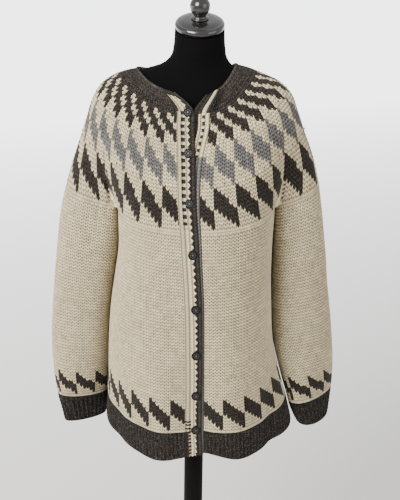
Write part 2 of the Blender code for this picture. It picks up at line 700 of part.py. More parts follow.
def make_stand():
    """A round base plate, the collar that stands on it and the pole that stands on the collar."""
    edge, fall = 0.005, 0.002
    profile = [(0.0, 0.0), (BASE_RADIUS - edge, 0.0), (BASE_RADIUS, edge)]
    profile += arc(BASE_RADIUS - edge, BASE_THICK - fall - edge, edge, 0, 80, 3)
    profile += [(COLLAR_RADIUS, BASE_THICK), (0.0, BASE_THICK)]
    turned("stand_base", profile, 40, BLACK_METAL)
    foot, bevel = BASE_THICK + SEAM, 0.004
    profile = [(0.0, foot), (COLLAR_RADIUS, foot), (COLLAR_RADIUS, COLLAR_TOP_Z - bevel)]
    profile += [(COLLAR_RADIUS - bevel, COLLAR_TOP_Z), (0.0, COLLAR_TOP_Z)]
    turned("stand_collar", profile, 24, BLACK_METAL)
    low, high = COLLAR_TOP_Z + SEAM, FORM_BOTTOM_Z - SEAM
    profile = [(0.0, low), (POLE_RADIUS, low), (POLE_RADIUS, high), (0.0, high)]
    turned("stand_pole", profile, 24, BLACK_METAL)


def main():
    for thing in list(bpy.data.objects):
        bpy.data.objects.remove(thing, do_unlink=True)
    make_stand()
    make_form()
    make_cap_and_finial()
    make_yoke()
    make_body()
    make_sleeves()
    make_bands()
    make_buttons()


main()
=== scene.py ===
# %% [markdown]
# # A hand-knitted round-yoke cardigan on a dress form
#
# The garment is knitted in bulky wool: a cream body and sleeves, dark ribs, and a yoke of slanted
# leaves in charcoal and grey. It hangs buttoned up on a black jersey form with a turned cap.
# The solid model already holds every piece's place. Here each soft piece is made again as a surface
# of real stitches, worked out with numpy, and put where its solid is.

# %% The frame from the solid model
import math

import bpy
import numpy as np
from mathutils import Matrix, Vector


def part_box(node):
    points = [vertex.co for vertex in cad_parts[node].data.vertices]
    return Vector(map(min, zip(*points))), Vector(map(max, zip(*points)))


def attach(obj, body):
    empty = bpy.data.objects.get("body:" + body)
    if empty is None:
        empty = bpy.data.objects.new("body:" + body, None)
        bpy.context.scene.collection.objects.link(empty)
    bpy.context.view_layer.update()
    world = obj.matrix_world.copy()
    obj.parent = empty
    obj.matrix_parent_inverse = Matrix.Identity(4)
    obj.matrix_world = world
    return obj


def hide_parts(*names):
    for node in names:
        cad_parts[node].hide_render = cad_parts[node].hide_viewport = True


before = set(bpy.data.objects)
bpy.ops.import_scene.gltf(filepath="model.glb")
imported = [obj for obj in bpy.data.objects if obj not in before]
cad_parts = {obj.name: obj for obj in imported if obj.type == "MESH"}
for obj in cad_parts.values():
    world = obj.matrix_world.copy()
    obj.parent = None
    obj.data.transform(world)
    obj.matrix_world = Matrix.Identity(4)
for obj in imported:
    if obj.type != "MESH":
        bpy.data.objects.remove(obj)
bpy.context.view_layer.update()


def corners(box):
    """A box's two corners as plain lists of numbers."""
    return [[float(value) for value in corner] for corner in box]


# %% [markdown]
# ## Tables of the garment
#
# A pattern maker draws a garment as a few measured sections. Each table below has a row for each
# section: how far the cloth reaches to each side at that height, or at that part of the yoke's
# depth. A smooth curve through the rows gives every height between them.

# %% Tables, and a smooth reading of them
def table(columns, *rows):
    """A short table: a named column for each word, and a row for each section, read down."""
    return dict(zip(columns.split(), np.array(rows, float).T))


def read(rows, column, place):
    """A column's value at a place down the table, on a smooth curve through its rows."""
    x, y = rows["at"], rows[column]
    slope = np.gradient(y, x)
    place = np.clip(place, x[0], x[-1])
    i = np.clip(np.searchsorted(x, place, side="right") - 1, 0, len(x) - 2)
    step = x[i + 1] - x[i]
    t = (place - x[i]) / step
    rest = 1 - t
    ends = y[i] * rest**2 * (1 + 2 * t) + y[i + 1] * t**2 * (3 - 2 * t)
    return ends + step * t * rest * (slope[i] * rest - slope[i + 1] * t)


def ease(t):
    """0 below 0, 1 above 1, and smooth between."""
    t = np.clip(t, 0.0, 1.0)
    return t * t * (3 - 2 * t)


def mix(a, b, t):
    """The value that lies t of the way from a to b."""
    return a + (b - a) * t


print("an ease a quarter of the way:", ease(0.25))

# %% [markdown]
# ## The surfaces that the cloth lies on
#
# The whole cardigan lies on three surfaces that share their edges: the yoke, the body and the
# sleeves. Each is a function of a place round the ring and a place down it. Round the ring, 0 is
# the front centre, 1 the right side, 2 the back and -1 the left side. One set of functions means
# that the pieces meet exactly, as knitted pieces do.
#
# Sculpting could give such a shape too, but it can't be measured or mended by a number. Here each
# ring is a rounded rectangle, and its exponent says how square it is.

# %% Rings
def quarter(reach_x, reach_y, square, part):
    """A quarter of a rounded rectangle, |x/a|^n + |y/b|^n = 1, from its y end to its x end."""
    angle = part * math.pi / 2
    along_x = np.sqrt(reach_x) * np.sin(angle)
    along_y = np.sqrt(reach_y) * np.cos(angle)
    scale = (np.abs(along_x / reach_x) ** square + np.abs(along_y / reach_y) ** square) ** (-1 / square)
    return scale * along_x, scale * along_y


def ring(middle, left, right, front, back, square, place):
    """x and y at a place round a ring that reaches a different distance to each side."""
    side = np.where(place < 0, -1.0, 1.0)
    turn = np.abs(place)
    reach_x = np.where(place < 0, left + middle, right - middle)
    reach_y = np.where(turn < 1, front, back)
    x, y = quarter(reach_x, reach_y, square, np.where(turn < 1, turn, 2 - turn))
    return middle + side * x, np.where(turn < 1, -y, y)


print("a ring's reach to the right, m:", ring(0.0, 0.2, 0.2, 0.15, 0.15, 2.0, 1.0)[0])

# %% [markdown]
# ### The yoke's measures
#
# The yoke is the round part over the shoulders. Its table runs from the neck edge, at 0, to the
# joining edge with the body and sleeves, at 1. That edge isn't level: it is lowest in front and
# highest over the arms, and the body and sleeves need its height, so it comes first.

# %% The yoke's measures
SHOULDER_BREADTH = 0.10
YOKE = table(
    "at middle left z_left right z_right front z_front back z_back square climb",
    (0.00, -0.006, 0.112, 1.3775, 0.066, 1.3870, 0.077, 1.337, 0.072, 1.362, 2.2, 2.5),
    (0.12, -0.006, 0.136, 1.3725, 0.091, 1.3810, 0.091, 1.317, 0.082, 1.351, 2.2, 2.4),
    (0.25, -0.006, 0.160, 1.3630, 0.121, 1.3695, 0.105, 1.292, 0.092, 1.335, 2.2, 2.2),
    (0.36, -0.006, 0.181, 1.3480, 0.150, 1.3560, 0.116, 1.269, 0.101, 1.317, 2.25, 2.1),
    (0.46, -0.005, 0.197, 1.3230, 0.172, 1.3350, 0.126, 1.246, 0.109, 1.298, 2.3, 2.0),
    (0.58, -0.004, 0.208, 1.2900, 0.186, 1.3020, 0.136, 1.218, 0.118, 1.270, 2.35, 2.0),
    (0.70, -0.003, 0.219, 1.2560, 0.199, 1.2670, 0.145, 1.187, 0.125, 1.238, 2.4, 2.0),
    (0.85, -0.002, 0.236, 1.2050, 0.219, 1.2150, 0.153, 1.148, 0.132, 1.193, 2.4, 2.0),
    (1.00, -0.001, 0.252, 1.1500, 0.234, 1.1600, 0.157, 1.105, 0.136, 1.138, 2.4, 2.0),
)


def yoke_edge_z(x, y):
    """Height of the yoke's lower edge over a point: lowest in front, highest over the sleeves."""
    last = {name: column[-1] for name, column in YOKE.items()}
    base = mix(last["z_front"], last["z_back"], ease(y / SHOULDER_BREADTH + 0.5))
    reach = np.where(x < 0, last["left"], last["right"])
    z_side = np.where(x < 0, last["z_left"], last["z_right"])
    return base + (z_side - base) * (x / reach) ** 2


print("yoke's rows:", len(YOKE["at"]), " joining edge at the front, m:", yoke_edge_z(0.0, -0.1).round(3))

# %% [markdown]
# ### The body
#
# The body is a tube that hangs from the yoke. Cloth that hangs falls into folds which begin at
# nothing and grow down to the hem, so each fold is one row of a table: where it is round the body,
# how wide and deep it gets, and at what height it starts. The hem has its own table, because it
# dips and rises.

# %% The body
HEM_Z = 0.650
HEM_RIB = 0.057
UNDERARM_DIP = 0.012
VALLEY_ON_BODY = 0.82
BODY = table(
    "at left right front back square",
    (0.650, 0.184, 0.203, 0.167, 0.150, 2.0),
    (0.720, 0.179, 0.186, 0.166, 0.147, 2.2),
    (0.780, 0.176, 0.170, 0.164, 0.143, 2.3),
    (0.840, 0.174, 0.157, 0.162, 0.139, 2.4),
    (0.930, 0.167, 0.149, 0.161, 0.135, 2.6),
    (0.990, 0.158, 0.146, 0.161, 0.134, 2.7),
    (1.050, 0.150, 0.1455, 0.160, 0.135, 2.8),
    (1.110, 0.150, 0.147, 0.157, 0.136, 3.0),
    (1.170, 0.150, 0.148, 0.155, 0.136, 3.0),
)
BODY_FOLDS = table(
    "place width depth start",
    (0.010, 0.130, -0.012, 1.02),
    (-0.240, 0.120, 0.008, 0.98),
    (0.300, 0.120, 0.008, 0.98),
    (0.600, 0.080, -0.008, 0.88),
    (0.830, 0.120, 0.006, 0.84),
    (-0.640, 0.100, -0.006, 0.90),
    (-1.450, 0.140, -0.008, 0.96),
    (1.520, 0.130, -0.008, 0.94),
    (1.970, 0.160, 0.008, 0.98),
)
HEM = table(
    "at rise rib",
    (-2.00, 0.006, 0.006),
    (-1.50, 0.014, 0.014),
    (-1.00, 0.027, 0.027),
    (-0.60, 0.012, 0.012),
    (-0.25, 0.001, 0.005),
    (0.00, 0.010, 0.005),
    (0.08, 0.014, 0.005),
    (0.30, 0.004, 0.006),
    (0.60, 0.012, 0.012),
    (1.00, 0.027, 0.027),
    (1.50, 0.014, 0.014),
    (2.00, 0.006, 0.006),
)


def fold_depth(place, z):
    """Each fold is a bell curve round the ring, and grows from its start down to the hem."""
    depth = np.zeros(np.broadcast(place, z).shape)
    for i in range(len(BODY_FOLDS["place"])):
        away = np.abs(place - BODY_FOLDS["place"][i])
        away = np.minimum(away, 4 - away) / BODY_FOLDS["width"][i]
        start = BODY_FOLDS["start"][i]
        depth += BODY_FOLDS["depth"][i] * np.exp(-(away**2)) * ease((start - z) / (start - HEM_Z))
    return depth


def body_xy(place, z):
    """The body's ring at a height, pushed out or in along its normal by the folds."""
    values = [read(BODY, name, z) for name in ("left", "right", "front", "back", "square")]
    x, y = ring(0.0, *values, place)
    left, right, front, back, _ = values
    out_x = x / np.where(x < 0, left, right) ** 2
    out_y = y / np.where(y < 0, front, back) ** 2
    depth = fold_depth(place, z) / np.hypot(out_x, out_y)
    return x + out_x * depth, y + out_y * depth


def body(place, down):
    """The body: down runs 0 to 1 from the yoke to the rib, and 1 to 2 down the rib to the hem."""
    place, down = np.broadcast_arrays(np.asarray(place, float), np.asarray(down, float))
    x, y = body_xy(place, YOKE["z_front"][-1])
    part = np.where(np.abs(place) < 1, np.abs(place), 2 - np.abs(place))
    under = ease((part - VALLEY_ON_BODY) / (1 - VALLEY_ON_BODY))
    top = yoke_edge_z(x, y) - UNDERARM_DIP * under
    rib = HEM_Z + HEM_RIB + read(HEM, "rib", place)
    end = HEM_Z + read(HEM, "rise", place)
    z = np.where(down < 1, mix(top, rib, down), mix(rib, end, down - 1))
    x, y = body_xy(place, z)
    return np.stack([x, y, z], axis=-1)


print("hem at the front centre, m:", body(0.0, 2.0).round(3))

# %% [markdown]
# ### The sleeves
#
# A sleeve hangs beside the body, so its inner side is given by its clearance from the body and its
# outer side by its reach. Low down it turns out of line with the body, as an empty arm does.

# %% The sleeves
CUFF_TOP_Z = {-1: 0.713, 1: 0.708}
CUFF_END_Z = 0.650
LEFT_CUFF_TILT = 0.008
ARM_RING_Z = 1.13
VALLEY_ON_SLEEVE = 0.14
OUTER_SQUARE = 2.2
SLEEVE_LEFT = table(
    "at clear outer middle_y depth turn square_in",
    (0.640, 0.0050, 0.270, 0.010, 0.019, 20.0, 2.2),
    (0.675, 0.0045, 0.276, 0.010, 0.021, 20.0, 2.2),
    (0.701, 0.0040, 0.282, 0.010, 0.027, 19.0, 2.2),
    (0.730, 0.0040, 0.287, 0.010, 0.037, 16.0, 2.2),
    (0.780, 0.0030, 0.290, 0.011, 0.043, 13.0, 2.3),
    (0.840, 0.0030, 0.290, 0.012, 0.046, 10.0, 2.4),
    (0.900, 0.0030, 0.288, 0.012, 0.049, 6.0, 2.6),
    (0.970, 0.0020, 0.281, 0.010, 0.051, 4.0, 2.6),
    (1.040, 0.0025, 0.274, 0.008, 0.053, 2.0, 3.5),
    (1.100, 0.0010, 0.266, 0.006, 0.055, 0.0, 6.0),
    (1.160, 0.0010, 0.252, 0.005, 0.055, 0.0, 8.0),
)
SLEEVE_RIGHT = table(
    "at clear outer middle_y depth turn square_in",
    (0.640, 0.0190, 0.283, 0.026, 0.023, 55.0, 2.2),
    (0.675, 0.0105, 0.289, 0.026, 0.025, 54.0, 2.2),
    (0.701, 0.0065, 0.292, 0.026, 0.027, 52.0, 2.2),
    (0.730, 0.0050, 0.291, 0.025, 0.033, 46.0, 2.2),
    (0.780, 0.0035, 0.288, 0.022, 0.038, 38.0, 2.2),
    (0.840, 0.0020, 0.281, 0.019, 0.041, 30.0, 2.2),
    (0.900, 0.0020, 0.272, 0.016, 0.044, 22.0, 2.2),
    (0.970, 0.0020, 0.259, 0.012, 0.046, 12.0, 2.4),
    (1.040, 0.0025, 0.251, 0.008, 0.050, 4.0, 3.0),
    (1.100, 0.0015, 0.244, 0.006, 0.052, 0.0, 5.0),
    (1.160, 0.0010, 0.234, 0.005, 0.052, 0.0, 8.0),
)


def sleeve_xy(side, round_part, z):
    """A turned oval: round_part is 0 under the arm, 0.25 in front, 0.5 outside, 0.75 behind."""
    rows = SLEEVE_RIGHT if side > 0 else SLEEVE_LEFT
    inner = read(BODY, "right" if side > 0 else "left", z) + read(rows, "clear", z)
    half = (read(rows, "outer", z) - inner) / 2
    depth = read(rows, "depth", z)
    turn = np.radians(read(rows, "turn", z))
    length = np.sqrt(half**2 - (depth * np.sin(turn)) ** 2) / np.cos(turn)
    angle = 2 * math.pi * round_part
    towards_x, towards_y = -side * np.cos(angle), -np.sin(angle)
    square = np.where(np.cos(angle) > 0, read(rows, "square_in", z), OUTER_SQUARE)
    scale = (np.abs(towards_x) ** square + np.abs(towards_y) ** square) ** (-1 / square)
    x, y = scale * length * towards_x, scale * depth * towards_y
    middle_x = side * (inner + half)
    turned_x = middle_x + x * np.cos(turn) - y * np.sin(turn)
    turned_y = read(rows, "middle_y", z) + x * np.sin(turn) + y * np.cos(turn)
    return turned_x, turned_y


def sleeve(side):
    """The sleeve's surface: down runs 0 to 1 from the yoke to the cuff, and 1 to 2 down the cuff."""

    def surface(round_part, down):
        x, y = sleeve_xy(side, round_part, ARM_RING_Z)
        from_under = np.minimum(round_part % 1, 1 - round_part % 1) / VALLEY_ON_SLEEVE
        top = yoke_edge_z(x, y) - UNDERARM_DIP * ease(1 - from_under)
        tilt = LEFT_CUFF_TILT * (side < 0)
        end = CUFF_END_Z + tilt * (1 + np.cos(2 * math.pi * round_part)) / 2
        z = np.where(down < 1, mix(top, CUFF_TOP_Z[side], down), mix(CUFF_TOP_Z[side], end, down - 1))
        x, y = sleeve_xy(side, round_part, z)
        return np.stack([x, y, z], axis=-1)

    return surface


print("right cuff's outer side, m:", sleeve(1)(0.5, 2.0).round(3))

# %% [markdown]
# ### The yoke's surface
#
# Without arms the yoke would be a smooth shade like a lamp's. Towards its joining edge it is drawn
# in to the edges of the body and the sleeves, which leaves a valley at each armpit.

# %% The yoke
ARMPIT_START = 0.45
VALLEY_ON_RING = 0.636


def yoke_plain(place, down):
    """The yoke's rings as if there were no arms: a smooth shade over the shoulders."""
    names = ("middle", "left", "right", "front", "back", "square")
    x, y = ring(*[read(YOKE, name, down) for name in names], place)
    middle = read(YOKE, "middle", down)
    base = mix(read(YOKE, "z_front", down), read(YOKE, "z_back", down), ease(y / SHOULDER_BREADTH + 0.5))
    reach = np.where(place < 0, read(YOKE, "left", down) + middle, read(YOKE, "right", down) - middle)
    z_side = np.where(place < 0, read(YOKE, "z_left", down), read(YOKE, "z_right", down))
    z = base + (z_side - base) * np.abs((x - middle) / reach) ** read(YOKE, "climb", down)
    return np.stack([x, y, z], axis=-1)


def yoke_lower_edge(place):
    """The ring on which the yoke meets the body in front and behind and a sleeve at each side."""
    turn = np.abs(place)
    part = np.where(turn < 1, turn, 2 - turn)
    body_part = part * VALLEY_ON_BODY / VALLEY_ON_RING
    on_body = np.sign(place) * np.where(turn < 1, body_part, 2 - body_part)
    along_sleeve = (part - VALLEY_ON_RING) / (1 - VALLEY_ON_RING)
    to_outside = mix(VALLEY_ON_SLEEVE, 0.5, np.clip(along_sleeve, 0, 1))
    on_sleeve = np.where(turn < 1, to_outside, 1 - to_outside)
    top = np.zeros_like(place)
    at_sleeve = np.where((place > 0)[..., None], sleeve(1)(on_sleeve, top), sleeve(-1)(on_sleeve, top))
    return np.where((part > VALLEY_ON_RING)[..., None], at_sleeve, body(on_body, top))


def yoke(place, down):
    """The yoke: down runs 0 to 1 from the neck edge. Its armpit valleys fade out upwards."""
    place, down = np.broadcast_arrays(np.asarray(place, float), np.asarray(down, float))
    drawn_in = (np.clip(down - ARMPIT_START, 0, None) / (1 - ARMPIT_START)) ** 2
    change = yoke_lower_edge(place) - yoke_plain(place, np.ones_like(down))
    return yoke_plain(place, down) + drawn_in[..., None] * change


print("yoke's top at the front, m:", yoke(0.0, 0.0).round(3))

# %% [markdown]
# ### The front and its two edges
#
# The bands run down the front along a line that isn't quite straight, so their table gives x at
# each place down. The surfaces are turned round here: a search finds the place where a surface has
# a wanted x. Near the bands the fronts rise or dip a little, since one band lies on the other.

# %% The front, found by x
SEAM = 0.0003
BAND_WIDTH = 0.031
BAND_RAMP = 0.022
EDGE_UP, EDGE_DOWN = 0.0022, -0.0022
NEWTON_STEPS = 8
BANDS = table(
    "at upper lower",
    (0.00, -0.0545, 0.0265),
    (0.06, -0.0385, 0.0170),
    (0.13, -0.0255, 0.0080),
    (0.30, -0.0215, 0.0040),
    (0.50, -0.0195, -0.0060),
    (0.85, -0.0160, -0.0100),
    (1.10, -0.0095, -0.0055),
    (1.37, -0.0030, 0.0000),
    (1.60, -0.0010, 0.0015),
    (2.00, 0.0000, 0.0030),
    (3.00, 0.0025, 0.0045),
)


def at_x(surface, x, down):
    """The place round a surface's front where it has this x, by Newton's method."""
    place = np.zeros(np.broadcast(x, down).shape)
    step = 1e-4
    for _ in range(NEWTON_STEPS):
        here = surface(place, down)[..., 0]
        ahead = surface(place + step, down)[..., 0]
        place = np.clip(place + (x - here) * step / (ahead - here), -0.6, 0.6)
    return place


def front(x, down):
    """The front at x: down is 0 to 1 on the yoke, 1 to 2 on the body and 2 to 3 on the rib."""
    x, down = np.broadcast_arrays(np.asarray(x, float), np.asarray(down, float))
    above, below = np.clip(down, 0, 1), np.clip(down - 1, 0, 2)
    on_yoke = yoke(at_x(yoke, x, above), above)
    on_body = body(at_x(body, x, below), below)
    return np.where((down < 1)[..., None], on_yoke, on_body)


def band_edges(down):
    """x of the left front's edge and of the right front's edge, where the bands begin."""
    left = read(BANDS, "upper", down) - BAND_WIDTH / 2 - SEAM
    right = read(BANDS, "lower", down) + BAND_WIDTH / 2 + SEAM
    return left, right


def edge_lift(points, down):
    """The left front rises to the band on top near its edge, and the right front dips under it."""
    left, right = band_edges(down)
    x = points[..., 0]
    near_left = EDGE_UP * ease(1 - (left - x) / BAND_RAMP)
    near_right = EDGE_DOWN * ease(1 - (x - right) / BAND_RAMP)
    in_front = points[..., 1] < 0
    return np.where(in_front, np.where(x < (left + right) / 2, near_left, near_right), 0.0)


print("edges of the fronts at the hem, x in m:", [round(float(x), 4) for x in band_edges(3.0)])

# %% [markdown]
# ## Yarns
#
# Three yarns make the whole pattern. Undyed wool is never one flat colour, so each stitch gets its
# own slight shade: the charcoal and grey are heathered, which means that light and dark fibres are
# spun together. The colour goes into the mesh as an attribute, one colour to each stitch.

# %% Yarn colours
def seen(red, green, blue):
    """A colour as the eye sees it, 0 to 255, in the linear values that Blender works with."""
    value = np.array([red, green, blue]) / 255
    return np.where(value < 0.04045, value / 12.92, ((value + 0.055) / 1.055) ** 2.4)


YARNS = np.array([seen(244, 228, 188), seen(124, 122, 120), seen(55, 49, 45)])
CREAM, GREY, CHARCOAL = 0, 1, 2
# How much the stitches of each yarn differ in lightness, and between which limits
HEATHER = np.array([0.06, 0.26, 0.38])
HEATHER_SPREAD = 0.6
DARKEST, LIGHTEST = 0.5, 1.7
SEED = 11
chance = np.random.default_rng(SEED)


def dyed(yarn, shade=1.0):
    """Linear colours for an array of yarn numbers, each entry with its own heathered shade."""
    spread = 1 + HEATHER[yarn] * chance.normal(0, HEATHER_SPREAD, yarn.shape)
    return YARNS[yarn] * (np.clip(spread, DARKEST, LIGHTEST) * shade)[..., None]


print("cream in linear light:", YARNS[CREAM].round(3))

# %% [markdown]
# ## The leaf pattern
#
# A knitter reads colours from a chart. Here the chart is a rule: a leaf is a parallelogram that
# leans to the left, as wide as the repeat. In each stitch of the repeat it starts about a row higher
# than in the next one to the right, and it is the same number of rows high in every stitch. An
# image could hold the chart too, but a rule is shorter, and every leaf can be mended by a number.

# %% The chart
YOKE_ROWS = 34
REPEAT = 6
LEAVES = (
    # first row, rows of slant, rows high, yarn
    (0.4, 5.6, 5.4, CHARCOAL),
    (11.8, 5.6, 5.7, GREY),
    (23.1, 4.4, 4.3, CHARCOAL),
    (29.4, 4.4, 20.0, CHARCOAL),
)
# From which row on, and how many stitches a repeat then has
DECREASES = ((0, REPEAT), (13, 5), (25, 4))


def leaf(across, row, start, slant, high):
    """Whether a stitch is in the leaf: across is 0 to 1 from the repeat's left to its right."""
    above = row - start - slant * (1 - across)
    return (above >= 0) & (above < high)


def yoke_chart(across, row):
    """Yarn of a stitch of the yoke, row counted up from its lower edge."""
    yarn = np.zeros(np.broadcast(across, row).shape, int)
    for start, slant, high, dark in LEAVES:
        yarn[leaf(across, row, start, slant, high)] = dark
    return yarn


def hem_chart(across, row):
    """One row of leaves, just above the hem's rib."""
    return np.where(leaf(across, row, 0.5, 5.0, 4.6), CHARCOAL, CREAM)


def cuff_chart(across, row):
    """The same leaf, a little flatter, just above a cuff."""
    return np.where(leaf(across, row, 0.6, 3.6, 3.9), CHARCOAL, CREAM)


print("stitches to a repeat, bottom to top:", [stitches for _, stitches in DECREASES])

# %% [markdown]
# ## Stitches as a surface
#
# A stocking stitch looks like a V: two plump legs that slant down to a point. Rows of V's nest in
# each other, so the line between two rows is a zigzag. The mesh's own rows follow that zigzag. Then
# every small face belongs to one leg of one stitch, and a colour change is as crisp as in wool.
# Across, the points lie on a leg's crest and in the grooves beside it.

# %% The stitch's shape
POINTS_ACROSS, POINTS_DOWN = 4, 3
ZIGZAG = 0.45
CREST = 0.0011
DIP = 0.0006
HOLE = 0.0018
# How fast a hole fills across the stitch, and how open each is at the thirds of a row
HOLE_FALL = 2.6
BESIDE_START = 0.3
MIDDLE_OPEN = np.array([1.0, 0.05, 0.9])
BESIDE_OPEN = np.array([0.8, 1.0, 0.05])
# Painted shade: how light the knit is painted in a groove, the painted highlight on a crest, and how much
# painted shade a hole adds
GROOVE_PAINTED_SHADE, CREST_PAINTED_HIGHLIGHT, HOLE_PAINTED_SHADE = 0.70, 0.30, 0.98


def holes(across, down):
    """How open the knit is: up to 1 in a stitch's two holes, and near 0 on its legs.

    across is -0.5 to 0.5 over the stitch and down is 0 to 1 over the row. One hole is where the two
    legs meet, and the other is beside the stitch, where the neighbour's leg crosses. Each falls off
    in a straight line across, times how open it is at that third of the row.
    """
    middle = np.clip(1 - HOLE_FALL * np.abs(across), 0, 1)
    beside = np.clip(HOLE_FALL * np.abs(across) - BESIDE_START, 0, 1)
    third = np.round(down * POINTS_DOWN).astype(int) % POINTS_DOWN
    return middle * MIDDLE_OPEN[third] + beside * BESIDE_OPEN[third]


def stitch_height(across, down):
    """Height of the knit over its middle surface: crests on the legs, dips beside them, and holes."""
    crest = np.abs(np.sin(2 * math.pi * across))
    return CREST * crest - DIP * (1 - crest) - HOLE * holes(across, down)


def painted_stitch_shade(across, down):
    """Painted shade of the knit: full on a leg's crest, and dark in the holes, where no light gets in."""
    crest = np.abs(np.sin(2 * math.pi * across))
    return (GROOVE_PAINTED_SHADE + CREST_PAINTED_HIGHLIGHT * crest) * (1 - HOLE_PAINTED_SHADE * holes(across, down))


print("deepest relief, mm:", round(1000 * (CREST + DIP + HOLE), 1))

# %% [markdown]
# ### Spacing the stitches
#
# Knitting is even: stitches keep their width even where a surface's own places lie closer together.
# So each row is measured along the cloth, and its stitches are laid out by that length.

# %% Spacing the stitches
def lay_out(surface, anchors, b, positions, samples=50):
    """Places of stitch positions on each row, evenly spaced along the cloth between anchors.

    anchors is a list of (stitch position, place for each row). Each row's length is added up over
    small steps, stretched to the stitches between two anchors, and read back.
    """
    part = np.linspace(0, 1, samples)[None, :]
    places, marks = [], []
    for (first, start), (last, stop) in zip(anchors, anchors[1:]):
        start, stop = np.broadcast_to(start, b.shape), np.broadcast_to(stop, b.shape)
        a = mix(start[:, None], stop[:, None], part)
        points = surface(a, np.broadcast_to(b[:, None], a.shape))
        steps = np.linalg.norm(np.diff(points, axis=1), axis=2)
        run = np.concatenate([np.zeros((len(b), 1)), np.cumsum(steps, axis=1)], axis=1)
        places.append(a)
        marks.append(first + (last - first) * run / run[:, -1:])
    places, marks = np.concatenate(places, axis=1), np.concatenate(marks, axis=1)
    return np.stack([np.interp(p, m, a) for p, m, a in zip(positions, marks, places)])


def all_round(surface):
    """The same surface, with a place that runs on past 2 at the back instead of changing sign."""

    def wrapped(place, down):
        return surface(np.where(place > 2, place - 4, place), down)

    return wrapped


# %% [markdown]
# ## From a grid to a mesh
#
# Each knitted piece is a wall: an outer grid with the stitches on it, a plain and coarser inner
# grid, and a rim that closes the two. The rim's faces have several corners on the fine side and two
# on the coarse side, so nothing gapes.

# %% Building a wall
WALL = 0.0040
INNER_ROWS, INNER_COLUMNS = 6, 8
# The inner grid and the rims take the stitches' colour with a painted shade
INNER_PAINTED_SHADE = 0.8


def outward_normals(points, inside):
    """Unit normals of a grid of points, from its own steps, turned away from a point inside."""
    normals = np.cross(np.gradient(points, axis=0), np.gradient(points, axis=1))
    normals /= np.linalg.norm(normals, axis=-1, keepdims=True) + 1e-12
    sign = np.sign((normals * (points - inside)).sum(axis=-1))
    return normals * np.sign(sign.sum())


def faces_from(parts):
    """Corner numbers, and each face's first corner, from arrays of faces of equal corner count."""
    corners, starts, first = [], [], 0
    for faces in parts:
        count = faces.shape[1]
        corners.append(faces.reshape(-1))
        starts.append(first + np.arange(len(faces)) * count)
        first += faces.size
    return np.concatenate(corners), np.concatenate(starts)


def around(grid):
    """For each face of a grid, its four corners' values in order round it."""
    return np.stack([grid[:-1, :-1], grid[:-1, 1:], grid[1:, 1:], grid[1:, :-1]], axis=-1)


def new_mesh(name, points, parts, colours=None, uv=None, smooth=None):
    """A mesh object at the origin from points and face arrays, with its colour and UV at corners.

    smooth is how many of the first faces are shaded smooth: all of them if it isn't given.
    """
    corners, starts = faces_from(parts)
    mesh = bpy.data.meshes.new(name)
    mesh.vertices.add(len(points))
    mesh.vertices.foreach_set("co", np.asarray(points, np.float32).ravel())
    mesh.loops.add(len(corners))
    mesh.loops.foreach_set("vertex_index", corners.astype(np.int32))
    mesh.polygons.add(len(starts))
    mesh.polygons.foreach_set("loop_start", starts.astype(np.int32))
    smooth = len(starts) if smooth is None else smooth
    mesh.polygons.foreach_set("use_smooth", np.arange(len(starts)) < smooth)
    mesh.update(calc_edges=True)
    if colours is not None:
        layer = mesh.color_attributes.new(name="wool", type="FLOAT_COLOR", domain="CORNER")
        rgba = np.concatenate([colours, np.ones((len(colours), 1))], axis=1)
        layer.data.foreach_set("color", rgba.astype(np.float32).ravel())
    if uv is not None:
        mesh.uv_layers.new(name="stitches").data.foreach_set("uv", uv.astype(np.float32).ravel())
    thing = bpy.data.objects.new(name, mesh)
    bpy.context.scene.collection.objects.link(thing)
    return thing


def picked(count, step):
    """Every so many of a row's numbers, and always its last."""
    return np.unique(np.append(np.arange(0, count, step), count - 1))


def rim(fine, coarse, at):
    """Faces between a fine edge and a coarse one: for each coarse step, a face over the fine steps."""
    by_size = {}
    for k in range(len(at) - 1):
        face = list(fine[at[k] : at[k + 1] + 1][::-1]) + [coarse[k], coarse[k + 1]]
        by_size.setdefault(len(face), []).append(face)
    return [np.array(faces) for faces in by_size.values()]


